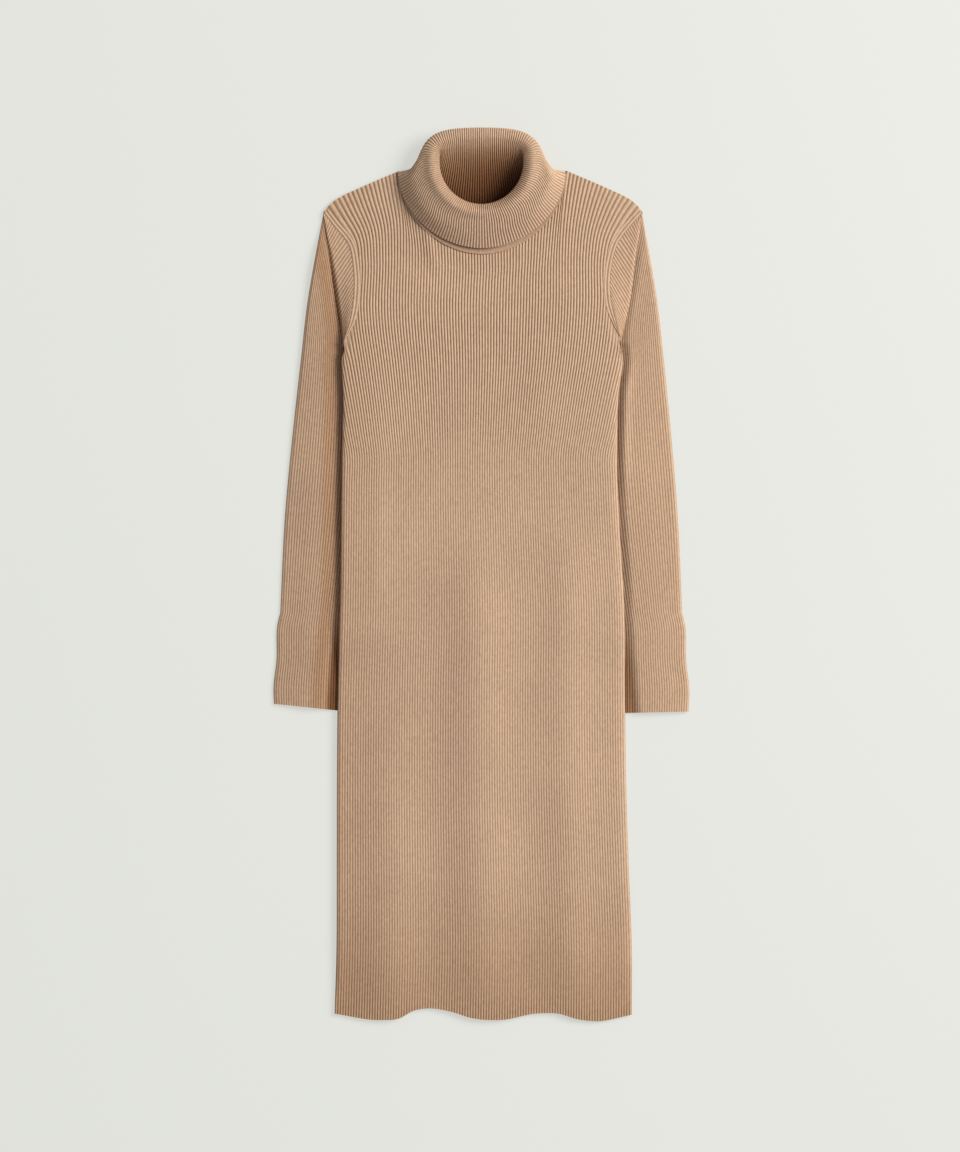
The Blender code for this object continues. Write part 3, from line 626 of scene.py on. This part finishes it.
front_ribs = np.linspace(-BODY_RIBS / 2, BODY_RIBS / 2, BODY_RIBS * POINTS_PER_RIB + 1)

# The fashioning ribs along each armhole.
BAND_RIBS = 2
BAND_WIDTH = 8.4
BAND_RELIEF = 0.9
BAND_ROWS = 96


def armhole_path(side):
    """Evenly spaced points along the armhole's seam, from the shoulder to the underarm."""
    rows = ARMHOLE + UNDERARM[1:]
    seam = np.stack([column(rows, side + "_x"), column(rows, side + "_y")], axis=1)
    lengths = np.concatenate([[0.0], np.cumsum(np.linalg.norm(np.diff(seam, axis=0), axis=1))])
    return through(lengths, seam, np.linspace(1.0, lengths[-1], BAND_ROWS + 1))


def front_relief(x, y):
    """The ribs stand higher over the chest, where the knit is stretched least, and at the hem. Under
    the fashioning ribs there are none."""
    away = np.full(x.shape, 1e3)
    for seam_x, seam_y in np.concatenate([armhole_path("right"), armhole_path("left")]):
        away = np.minimum(away, np.hypot(x - seam_x, y - seam_y))
    chest = smooth(60.0, 330.0, y)
    hem = 1.0 - smooth(-556.0, -520.0, y)
    beside_bands = smooth(BAND_WIDTH - 2.0, BAND_WIDTH + 0.5, away)
    return RIB_RELIEF * (0.6 + 0.9 * chest + 0.5 * hem) * beside_bands


def body_depth(face):
    """A little fitted shade in the body's colour: towards the hem, and along its right side."""
    x, y = np.nan_to_num(face[..., 0]), np.nan_to_num(face[..., 1])
    return 0.12 * (1.0 - smooth(-560.0, -340.0, y)) + 0.05 * (1.0 - smooth(-180.0, -120.0, x))


FRONT_SEAM = SIDE_ROLL + SEAM_GAP / 2
front_face = panel_face(front_ribs, FRONT_NECK, front_top, FRONT_SEAM, FRONT_BENDS, front_relief)
front_lining = panel_face(
    front_ribs[::POINTS_PER_RIB],
    FRONT_NECK,
    lambda x, y: front_top(x, y) - CLOTH,
    FRONT_SEAM,
    FRONT_BENDS,
)


def armhole_band(side):
    """Two ribs beside the armhole: a strip carried along the seam, from the seam to BAND_WIDTH inside
    it, laid on the front and narrowing to nothing under the arm."""
    path = armhole_path(side)
    ahead = np.gradient(path, axis=0)
    ahead /= np.linalg.norm(ahead, axis=1)[:, None]
    inwards = np.stack([-ahead[:, 1], ahead[:, 0]], axis=1) * (1.0 if side == "right" else -1.0)
    width = BAND_WIDTH * np.sqrt(1.0 - smooth(0.72, 1.0, np.linspace(0.0, 1.0, BAND_ROWS + 1)))
    faces = []
    for count, rows, outer in ((BAND_RIBS * POINTS_PER_RIB, 1, True), (BAND_RIBS, 2, False)):
        rib = np.linspace(0.0, BAND_RIBS, count + 1)
        plan = path[:, None] + inwards[:, None] * (rib / BAND_RIBS * width[:, None])[..., None]
        above = 0.2 + BAND_RELIEF * rib_profile(rib) if outer else -0.8
        height = front_top(plan[..., 0], plan[..., 1]) + above
        face = np.concatenate([plan, height[..., None]], axis=-1)[::rows]
        faces.append((face, knit_coordinates(face, rib)))
    return (*faces, 0)


front = cloth(
    "front_panel",
    [
        (
            (front_face, knit_coordinates(front_face, front_ribs, body_depth(front_face))),
            (front_lining, knit_coordinates(front_lining, front_ribs[::POINTS_PER_RIB], INSIDE_DEPTH)),
            0,
        ),
        armhole_band("right"),
        armhole_band("left"),
    ],
    camel_rib,
)
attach(front, "root")
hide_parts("front")

# ================================================================ back
# The back panel: the same knit and outline with a shallower neck. It lies under the front, ribs down.

BACK_NECK = Neckline(55.0, 1.3)
BACK_POINTS_PER_RIB = 4
BACK_SEAM = SIDE_ROLL - SEAM_GAP / 2
BACK_BENDS = (SIDE_ROLL, SIDE_ROLL)
UNDERSIDE_RELIEF = 0.5
BACK_INSIDE_DEPTH = 1.0  # of the shade where its inner face shows in the neck

back_ribs = np.linspace(-BODY_RIBS / 2, BODY_RIBS / 2, BODY_RIBS * BACK_POINTS_PER_RIB + 1)
back_face = panel_face(
    back_ribs,
    BACK_NECK,
    lambda x, y: back_lift(x, y) + UNDERSIDE_RELIEF,
    BACK_SEAM,
    BACK_BENDS,
    lambda x, y: -UNDERSIDE_RELIEF,
)
back_lining = panel_face(
    back_ribs[::BACK_POINTS_PER_RIB],
    BACK_NECK,
    lambda x, y: back_lift(x, y) + CLOTH,
    BACK_SEAM,
    BACK_BENDS,
)
back_pattern = knit_coordinates(back_face, back_ribs)
back_lining_pattern = knit_coordinates(back_lining, back_ribs[::BACK_POINTS_PER_RIB], BACK_INSIDE_DEPTH)
back = cloth("back_panel", [((back_face, back_pattern), (back_lining, back_lining_pattern), 0)], camel_rib)
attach(back, "root")
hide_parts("back")

# ================================================================ sleeves
# Each sleeve is knitted to shape and closed along its underside seam, and lies as a flattened tube with
# its inner half under the body. At the top its cap folds over itself: the flap that is linked to the
# armhole ends in a ridge, and the sleeve comes out from under that ridge.

SLEEVE_RIBS = 26
SLEEVE_ROWS = 100
SLEEVE_LEVELS = (453.4, 335.0, 270.0, 190.0, 75.0, -47.2)  # heights of the key rows
TUBE_FOLD = 6.0  # how far in from its folds a flattened tube is rounded

CapPoint = namedtuple("CapPoint", "share x y")
SleeveRow = namedtuple("SleeveRow", "outer_x outer_y inner_x inner_y")
RidgeRow = namedtuple("RidgeRow", "seam_y ridge_x ridge_y height reach")
SleeveShape = namedtuple(
    "SleeveShape", "low crown rise fall fold depth trough_depth edge_depth flap_depth"
)

SLEEVE_TOPS = {
    "right": (
        CapPoint(0.00, -196.8, 456.0),
        CapPoint(0.25, -186.6, 438.0),
        CapPoint(0.50, -172.9, 420.0),
        CapPoint(0.70, -163.6, 396.0),
        CapPoint(0.75, -162.0, 385.0),
        CapPoint(0.80, -162.2, 360.0),
        CapPoint(0.85, -162.9, 336.0),
        CapPoint(0.90, -165.3, 321.0),
        CapPoint(0.95, -168.6, 308.5),
        CapPoint(1.00, -171.4, 299.0),
    ),
    "left": (
        CapPoint(0.00, 200.4, 456.0),
        CapPoint(0.25, 189.6, 439.5),
        CapPoint(0.50, 176.2, 422.0),
        CapPoint(0.70, 166.6, 399.0),
        CapPoint(0.75, 165.0, 390.0),
        CapPoint(0.80, 164.2, 365.0),
        CapPoint(0.85, 164.0, 342.0),
        CapPoint(0.90, 166.0, 328.0),
        CapPoint(0.95, 169.9, 314.0),
        CapPoint(1.00, 172.8, 306.0),
    ),
}
SLEEVES = {
    "right": (
        SleeveRow(-218.3, 335.0, -162.0, 272.0),
        SleeveRow(-225.6, 270.0, -155.0, 235.0),
        SleeveRow(-234.5, 190.0, -152.0, 180.0),
        SleeveRow(-245.4, 75.0, -158.0, 75.0),
        SleeveRow(-251.4, -47.2, -175.5, -47.2),
    ),
    "left": (
        SleeveRow(220.6, 335.0, 162.5, 278.0),
        SleeveRow(227.8, 270.0, 154.5, 235.0),
        SleeveRow(235.7, 190.0, 151.0, 180.0),
        SleeveRow(245.2, 75.0, 157.0, 75.0),
        SleeveRow(250.9, -47.2, 175.0, -47.2),
    ),
}
CAP_FLAPS = {
    "right": (
        RidgeRow(453.0, -197.0, 448.0, 4.0, 3.0),
        RidgeRow(437.0, -191.5, 424.0, 5.2, 9.0),
        RidgeRow(422.0, -185.5, 402.0, 6.8, 15.0),
        RidgeRow(401.0, -180.2, 375.0, 8.6, 18.0),
        RidgeRow(374.0, -176.1, 347.0, 9.9, 18.0),
        RidgeRow(347.0, -173.3, 320.0, 11.0, 13.0),
        RidgeRow(318.0, -172.4, 300.0, 11.6, 8.0),
        RidgeRow(297.0, -172.6, 284.0, 11.6, 4.0),
    ),
    "left": (
        RidgeRow(453.0, 199.5, 448.0, 4.0, 3.0),
        RidgeRow(438.0, 195.0, 424.0, 5.2, 6.0),
        RidgeRow(424.0, 190.4, 402.0, 6.2, 10.0),
        RidgeRow(403.0, 186.0, 373.0, 7.4, 13.0),
        RidgeRow(380.0, 182.0, 347.0, 8.4, 14.0),
        RidgeRow(353.0, 177.0, 322.0, 9.4, 12.0),
        RidgeRow(326.0, 174.6, 305.0, 10.2, 7.0),
        RidgeRow(304.0, 173.8, 291.0, 10.6, 4.0),
    ),
}
CAP_RIBS = 34
FLAP_ROWS = 28
FLAP_WALL = 1.2
FLAP_FOOT = 2.2  # its height at its end, in the sleeve
RIDGE_AT = 0.6  # of the way across the flap
SLEEVE_SHAPES = {
    "right": SleeveShape(3.3, 4.8, 22.0, 4.8, 0.0, 0.03, 0.24, 0.3, 0.7),
    "left": SleeveShape(3.2, 4.8, 12.0, 2.6, 2.2, 0.04, 0.0, 0.0, 0.0),
}
SLEEVE_RELIEF = 0.5


def sleeve_height(side, beyond):
    """Height of a sleeve's upper wall, by how far out it lies from the edge that covers it: a smooth
    rise, and a slower fall to the outer edge."""
    shape = SLEEVE_SHAPES[side]
    risen = smooth(-2.0, shape.rise, beyond)
    return shape.low + shape.crown * risen - shape.fall * smooth(24.0, 78.0, beyond)


def sleeve_cover(side, x, y):
    """How far out a point of a sleeve lies from the edge that covers it: the body's side below the
    underarm, and the cap's ridge above."""
    flap = CAP_FLAPS[side]
    ridge_x = np.abs(np.interp(y, column(flap, "ridge_y")[::-1], column(flap, "ridge_x")[::-1]))
    return mix(-inward(x, y), np.abs(x) - ridge_x, smooth(284.0, 298.0, y))


def sleeve_top(side, x, y):
    """Height of a sleeve's upper wall, flat towards the shoulder. On one sleeve a bell-shaped fold runs
    beside the body."""
    beyond = sleeve_cover(side, x, y)
    bell = np.exp(-(((beyond - 9.0) / 7.0) ** 2))
    beside = bell * smooth(80.0, 160.0, y) * (1.0 - smooth(230.0, 290.0, y))
    height = sleeve_height(side, beyond) + SLEEVE_SHAPES[side].fold * beside
    return mix(height, LAID_FLAT - 0.4, smooth(395.0, 450.0, y))


def covered_depth(side, beyond, more=0.0):
    """Fitted shade in a sleeve's colour: even over it, a bell over the trough beside the body, and
    more where it goes under its cover."""
    shape = SLEEVE_SHAPES[side]
    trough = shape.trough_depth * np.exp(-(((beyond - 14.0) / 10.0) ** 2))
    return shape.depth + trough + (shape.edge_depth + more) * (1.0 - smooth(-2.0, 8.0, beyond))


def flat_tube(plan_x, plan_y, share, top, crest, inner):
    """A flattened tube from a grid of its upper wall: over the top and back under it. Each wall is
    rounded down to the middle of the tube's height at its folds, by the root of 1 - (1 - reach)^2."""
    reach = np.clip(np.minimum(share, 1.0 - share) * plan_width(plan_x, plan_y) / TUBE_FOLD, 0.0, 1.0)
    rounded = np.sqrt(1.0 - (1.0 - reach) ** 2)
    gap = CLOTH if inner else 0.0
    above = mix(top / 2, top - gap + crest, rounded)
    below = mix(top / 2, gap + (SLEEVE_RELIEF - crest) * (not inner), rounded)
    upper = np.stack([plan_x, plan_y, above], axis=-1)
    lower = np.stack([plan_x, plan_y, below], axis=-1)
    return np.concatenate([upper, lower[:, -2:0:-1]], axis=1)


def plan_width(plan_x, plan_y):
    """Width of each row of a grid, seen from above, as a column."""
    ends = np.hypot(plan_x[:, -1] - plan_x[:, 0], plan_y[:, -1] - plan_y[:, 0])
    return ends[:, None]


def sleeve_tube(side, inner):
    """The tube's grid and its pattern: key rows along the armhole and across the sleeve, and smooth
    curves between them. The lining is drawn in by CLOTH at both folds."""
    top = SLEEVE_TOPS[side]
    share = np.linspace(0.0, 1.0, SLEEVE_RIBS * (1 if inner else POINTS_PER_RIB) + 1)
    rows = [[np.interp(share, column(top, "share"), column(top, axis)) for axis in "xy"]]
    for row in SLEEVES[side]:
        rows.append([mix(row.outer_x, row.inner_x, share), mix(row.outer_y, row.inner_y, share)])
    keys = np.array(SLEEVE_LEVELS)
    at = np.linspace(keys[0], keys[-1], (SLEEVE_ROWS // 2 if inner else SLEEVE_ROWS) + 1)
    plan = through(-keys, np.array(rows), -at)
    plan_x, plan_y = plan[:, 0], plan[:, 1]
    if inner:
        drawn_in = CLOTH / plan_width(plan_x, plan_y)
        plan_x, plan_y = (mix(wide, wide[:, ::-1], drawn_in) for wide in (plan_x, plan_y))
    crest = 0.0 if inner else SLEEVE_RELIEF * rib_profile(share * SLEEVE_RIBS)
    face = flat_tube(plan_x, plan_y, share, sleeve_top(side, plan_x, plan_y), crest, inner)
    rib = np.concatenate([share, 2.0 - share[-2:0:-1]]) * SLEEVE_RIBS
    depth = covered_depth(side, sleeve_cover(side, face[..., 0], face[..., 1]))
    return face, knit_coordinates(face, rib, depth)


def cap_flap(side):
    """The flap from the armhole to the ridge and down beyond it, by reach. Its ribs run straight across
    the ridge. Its height starts at the front's, changes by the square of the way to the ridge, and
    falls in a smooth step into the sleeve."""
    table = CAP_FLAPS[side]
    shape = SLEEVE_SHAPES[side]
    seam = armhole_path(side)[::-1]
    knots = np.linspace(0.0, 1.0, len(table))
    rows = np.array([column(table, name) for name in RidgeRow._fields]).T
    faces = []
    for points_per_rib, path_rows, drop in (
        (POINTS_PER_RIB, FLAP_ROWS, 0.0),
        (1, FLAP_ROWS // 2, FLAP_WALL),
    ):
        at = np.linspace(0.0, 1.0, CAP_RIBS * points_per_rib + 1)
        seam_y, ridge_x, ridge_y, ridge_height, reach = through(knots, rows, at).T
        seam_x = np.interp(seam_y, seam[:, 1], seam[:, 0])
        path = np.linspace(0.0, 1.0, path_rows + 1)[:, None]
        over = np.clip(path / RIDGE_AT, 0.0, 1.0)
        past = np.clip((path - RIDGE_AT) / (1.0 - RIDGE_AT), 0.0, 1.0)
        length = np.hypot(ridge_x - seam_x, ridge_y - seam_y)
        x = mix(seam_x, ridge_x, over + past * reach / length)
        y = mix(seam_y, ridge_y, over + past * reach / length)
        height = mix(front_top(seam_x, seam_y) + 0.2, ridge_height, over**2) + 0.6 * np.sin(np.pi * over)
        height = mix(height, FLAP_FOOT, smooth(0.0, 1.0, past))
        spread = smooth(3.0, 16.0, length)
        relief = 0.0 if drop else 0.8 * RIB_RELIEF * spread * rib_profile(at * CAP_RIBS) * (1.0 - past**2)
        face = np.stack([x, y, height + relief - drop * (1.0 - 0.5 * past)], axis=-1)
        shade = shape.flap_depth * smooth(0.0, 0.7, past) * (1.0 - 0.5 * smooth(0.7, 1.0, past))
        faces.append((face, knit_coordinates(face, at * CAP_RIBS, shape.depth + shade)))
    return (*faces, 0)


for side in ("left", "right"):
    tube = sleeve_tube(side, inner=False)
    shells = [(tube, sleeve_tube(side, inner=True), 2 * SLEEVE_RIBS), cap_flap(side)]
    sleeve = cloth("knit_sleeve_" + side, shells, camel_rib)
    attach(sleeve, "root")
    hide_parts("sleeve_" + side)

# ================================================================ cuffs
# Cuffs: the same ribs knitted on at the wrist, a small step wider at the outer edge and open at the
# end. Beyond the edge where its crown starts, each cuff's low inner side reaches to the body.

CUFF_ROWS = 30
CUFF_DRAWN_IN = 0.022  # the lining, at both folds, as a share of the width
CuffRow = namedtuple("CuffRow", "outer_x outer_y edge_x under_x under_y")
CUFFS = {
    "right": (
        CuffRow(-251.4, -47.2, -177.0, -175.5, -47.2),
        CuffRow(-254.2, -58.0, -179.5, -176.0, -58.0),
        CuffRow(-256.1, -106.0, -185.2, -178.0, -106.0),
        CuffRow(-259.9, -143.5, -188.0, -179.0, -146.0),
        CuffRow(-259.2, -160.8, -189.2, -179.6, -169.1),
    ),
    "left": (
        CuffRow(250.9, -47.2, 178.4, 175.0, -47.2),
        CuffRow(253.7, -58.0, 179.6, 176.5, -58.0),
        CuffRow(255.8, -106.0, 183.7, 178.5, -106.0),
        CuffRow(259.9, -146.0, 187.0, 179.0, -148.0),
        CuffRow(258.9, -170.4, 189.1, 179.2, -172.2),
    ),
}


def cuff_tube(side, inner):
    """The cuff's grid and its pattern: smooth curves through its key rows, and the walls of a flattened
    tube. Its fitted shade grows under the edge, the more so towards its end."""
    table = CUFFS[side]
    share = np.linspace(0.0, 1.0, SLEEVE_RIBS * (1 if inner else POINTS_PER_RIB) + 1)
    inset = CUFF_DRAWN_IN if inner else 0.0
    across = mix(inset, 1.0 - inset, share)
    rows = [(mix(r.outer_x, r.under_x, across), mix(r.outer_y, r.under_y, across)) for r in table]
    keys = column(table, "outer_y")
    at = np.linspace(keys[0], keys[-1], (CUFF_ROWS // 2 if inner else CUFF_ROWS) + 1)
    plan = through(-keys, np.array(rows), -at)
    crest = 0.0 if inner else SLEEVE_RELIEF * rib_profile(share * SLEEVE_RIBS)
    edge_x = np.abs(np.interp(-plan[:, 1], -keys, column(table, "edge_x")))
    beyond = np.abs(plan[:, 0]) - edge_x
    face = flat_tube(plan[:, 0], plan[:, 1], share, sleeve_height(side, beyond), crest, inner)
    depth = covered_depth(side, beyond, 0.5 * (1.0 - smooth(-120.0, -60.0, plan[:, 1])))
    rib = np.concatenate([share, 2.0 - share[-2:0:-1]]) * SLEEVE_RIBS
    return face, knit_coordinates(face, rib, np.concatenate([depth, depth[:, -2:0:-1]], axis=1))


for side in ("left", "right"):
    tube = cuff_tube(side, inner=False)
    cuff = cloth("knit_cuff_" + side, [(tube, cuff_tube(side, inner=True), 2 * SLEEVE_RIBS)], camel_rib)
    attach(cuff, "root")
    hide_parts("cuff_" + side)

# ================================================================ neck strip
# A narrow strip of plain knit that links the collar to the neckline. It lies on the panels' edges.

RING_SAMPLES = 1440
Ring = namedtuple(
    "Ring", "x side_y half_width front back front_exp back_exp z_front z_side z_back turn_start turn_end"
)
STRIP_OUTER = Ring(CENTRE_X, NECK_SIDE_Y, 105.5, -102.0, -48.9, 1.9, 1.3, 8.4, 6.8, 3.1, 0.29, 0.35)
STRIP_INNER = Ring(0.8, 491.0, 95.3, -76.5, -42.0, 1.9, 1.3, 6.8, 5.4, 3.1, 0.27, 0.34)
STRIP_WALL = 1.2
STRIP_RIBS = 160
STRIP_POINTS_PER_RIB = 3
STRIP_ROWS = 12
UNDER_EVERY = 4  # points of the top for each one of the strip's underside


def share_along(points):
    """How far along a run of points each one lies, from 0 to 1."""
    lengths = np.linalg.norm(np.diff(points, axis=0), axis=1)
    distance = np.concatenate([[0.0], np.cumsum(lengths)])
    return distance / distance[-1]


def ring_points(ring, count):
    """Evenly spaced points round a ring, from the middle of the front towards +X. Front and back are
    curves |x/a|^p + |y/b|^p = 1, and the height turns from the front's to the side's to the back's."""
    turn = np.linspace(0.0, 2 * np.pi, RING_SAMPLES + 1)
    front = np.cos(turn) >= 0
    exponent = np.where(front, ring.front_exp, ring.back_exp)
    reach = np.where(front, ring.front, ring.back)
    x = ring.x + ring.half_width * np.sign(np.sin(turn)) * np.abs(np.sin(turn)) ** (2 / exponent)
    y = ring.side_y + reach * np.abs(np.cos(turn)) ** (2 / exponent)
    along = share_along(np.stack([x, y], axis=1))
    share = np.arange(count) / count
    halfway = 0.5 - np.abs(share - 0.5)
    z = mix(ring.z_front, ring.z_side, smooth(0.0, 0.25, halfway))
    z = mix(z, ring.z_back, smooth(ring.turn_start, ring.turn_end, halfway))
    return np.stack([np.interp(share, along, x), np.interp(share, along, y), z], axis=1)


def strip_face(count, rows, drop):
    """The strip from its inner to its outer edge, with a slight dome, sin(pi t) high."""
    inner_edge = ring_points(STRIP_INNER, count)
    outer_edge = ring_points(STRIP_OUTER, count)
    across = np.linspace(0.0, 1.0, rows + 1)[:, None, None]
    face = mix(inner_edge, outer_edge, across)
    face[..., 2] += 0.5 * np.sin(np.pi * across[..., 0]) - drop
    return face


# Its slightly darker second colour, for the valleys, is painted shade.
plain_knit = rib_knit("heathered_wool_plain_knit", "#BC9E84", "#B2947A", 0.3)
strip_rib = np.arange(STRIP_RIBS * STRIP_POINTS_PER_RIB) / STRIP_POINTS_PER_RIB
strip_top = strip_face(len(strip_rib), STRIP_ROWS, 0.0)
strip_under = strip_face(len(strip_rib) // UNDER_EVERY, STRIP_ROWS // 2, STRIP_WALL)
neck_strip = cloth(
    "knit_neck_strip",
    [
        (
            (strip_top, knit_coordinates(strip_top, strip_rib)),
            (strip_under, knit_coordinates(strip_under, strip_rib[::UNDER_EVERY])),
            STRIP_RIBS,
        )
    ],
    plain_knit,
)
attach(neck_strip, "root")
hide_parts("neck_strip")

# ================================================================ collar
# One tube of rib, linked at its foot to the strip. It stands up inside the neck, rolls over its crest
# and falls outside to its free edge. At the back it leans back and lies on the board.

COLLAR_RIBS = 136
LINING_POINTS_PER_RIB = 2
COLLAR_ROWS = 72
CREST_HALF_WIDTH = 8.5
CREST_RISE = 7.0
SHOULDER_RISE = 4.0  # of the crest's outer shoulder
INNER_RISE = 3.0  # of its inner one
BACK_INNER_RISE = 5.0  # and at the back, where the stand leans back
COLLAR_TILT = 0.09  # the wearer's left of the crest stands higher
COLLAR_RELIEF = 1.1
STAND_RING = Ring(0.8, 497.0, 92.5, -80.0, -39.5, 1.9, 1.4, 6.8, 6.4, 3.5, 0.29, 0.37)
STAND_MIDDLE = Ring(0.4, 505.0, 78.0, -69.0, -6.0, 2.0, 2.0, 18.0, 19.0, 12.0, 0.25, 0.43)
CREST_RING = Ring(0.0, 517.0, 63.0, -64.0, 31.62, 2.0, 3.4, 25.5, 32.0, 23.0, 0.20, 0.42)
FOLD_MIDDLE = Ring(0.2, 505.0, 90.0, -79.0, 31.0, 1.95, 1.3, 22.0, 28.0, 0.0, 0.26, 0.36)
FREE_EDGE = Ring(0.4, 503.5, 104.0, -94.5, -8.0, 1.9, 1.3, 13.5, 11.2, 0.0, 0.29, 0.35)
DEPTHS = (1.2, 0.8, 0.1, 0.0, 0.0, 0.0, 0.0)  # fitted shade in the colour, at the seven rings
DEPTH_TILT = 0.007  # how much more of it for each millimetre towards the wearer's left


def collar_surface(count, rows):
    """Plain collar, rows x count x 3, and the depth of its shade: smooth curves through seven rings,
    from the foot of the stand over the crest to the free edge."""
    crest = ring_points(CREST_RING, count)
    ahead = np.roll(crest, -1, axis=0) - np.roll(crest, 1, axis=0)
    out = np.stack([ahead[:, 1], -ahead[:, 0], np.zeros(count)], axis=1)
    out *= CREST_HALF_WIDTH / np.linalg.norm(out, axis=1)[:, None]
    up = np.array([0.0, 0.0, 1.0])
    halfway = 0.5 - np.abs(np.arange(count) / count - 0.5)
    inner_rise = mix(INNER_RISE, BACK_INNER_RISE, smooth(CREST_RING.turn_start, CREST_RING.turn_end, halfway))
    rings = np.array(
        [
            ring_points(STAND_RING, count),
            ring_points(STAND_MIDDLE, count),
            crest - out + inner_rise[:, None] * up,
            crest + CREST_RISE * up,
            crest + out + SHOULDER_RISE * up,
            ring_points(FOLD_MIDDLE, count),
            ring_points(FREE_EDGE, count),
        ]
    )
    steps = np.linalg.norm(np.diff(rings, axis=0), axis=2).mean(axis=1)
    knots = np.concatenate([[0.0], np.cumsum(steps)])
    at = np.linspace(0.0, knots[-1], rows + 1)
    surface = through(knots, rings, at)
    surface[..., 2] += COLLAR_TILT * surface[..., 0] * np.clip(surface[..., 2] / 30.0, 0.0, 1.0)
    surface[..., 2] = np.maximum(surface[..., 2], 0.0)
    depth = np.interp(at, knots, DEPTHS)[:, None] * (1.0 + DEPTH_TILT * surface[..., 0])
    return surface, depth


def surface_normals(face):
    """Unit normals of a grid that closes round a ring: the cross product of the directions along and
    around, on the ribbed side."""
    around = np.roll(face, -1, axis=1) - np.roll(face, 1, axis=1)
    steps = np.diff(face, axis=0)
    steps /= np.linalg.norm(steps, axis=2)[..., None] + 1e-9
    along = np.concatenate([steps[:1], steps[:-1] + steps[1:], steps[-1:]])
    normal = np.cross(along, around)
    return normal / (np.linalg.norm(normal, axis=2)[..., None] + 1e-9)


collar_plain, collar_depth = collar_surface(COLLAR_RIBS * POINTS_PER_RIB, COLLAR_ROWS)
collar_normal = surface_normals(collar_plain)
collar_rib = np.arange(COLLAR_RIBS * POINTS_PER_RIB) / POINTS_PER_RIB
# Where the collar lies on the board its ribs are pressed flat.
resting = (1.0 - smooth(3.0, 7.0, collar_plain[..., 2])) * (1.0 - smooth(0.2, 0.5, collar_normal[..., 2]))
collar_relief = COLLAR_RELIEF * (1.0 - resting) * rib_profile(collar_rib)
collar_face = collar_plain + collar_normal * collar_relief[..., None]
lining_plain, _ = collar_surface(COLLAR_RIBS * LINING_POINTS_PER_RIB, COLLAR_ROWS // 2)
collar_lining = lining_plain - surface_normals(lining_plain) * CLOTH
collar_lining[..., 2] = np.maximum(collar_lining[..., 2], 0.0)
lining_rib = collar_rib[:: POINTS_PER_RIB // LINING_POINTS_PER_RIB]
collar = cloth(
    "knit_collar",
    [
        (
            (collar_face, knit_coordinates(collar_face, collar_rib, collar_depth)),
            (collar_lining, knit_coordinates(collar_lining, lining_rib, INSIDE_DEPTH)),
            COLLAR_RIBS,
        )
    ],
    camel_rib,
)
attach(collar, "root")
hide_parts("collar")
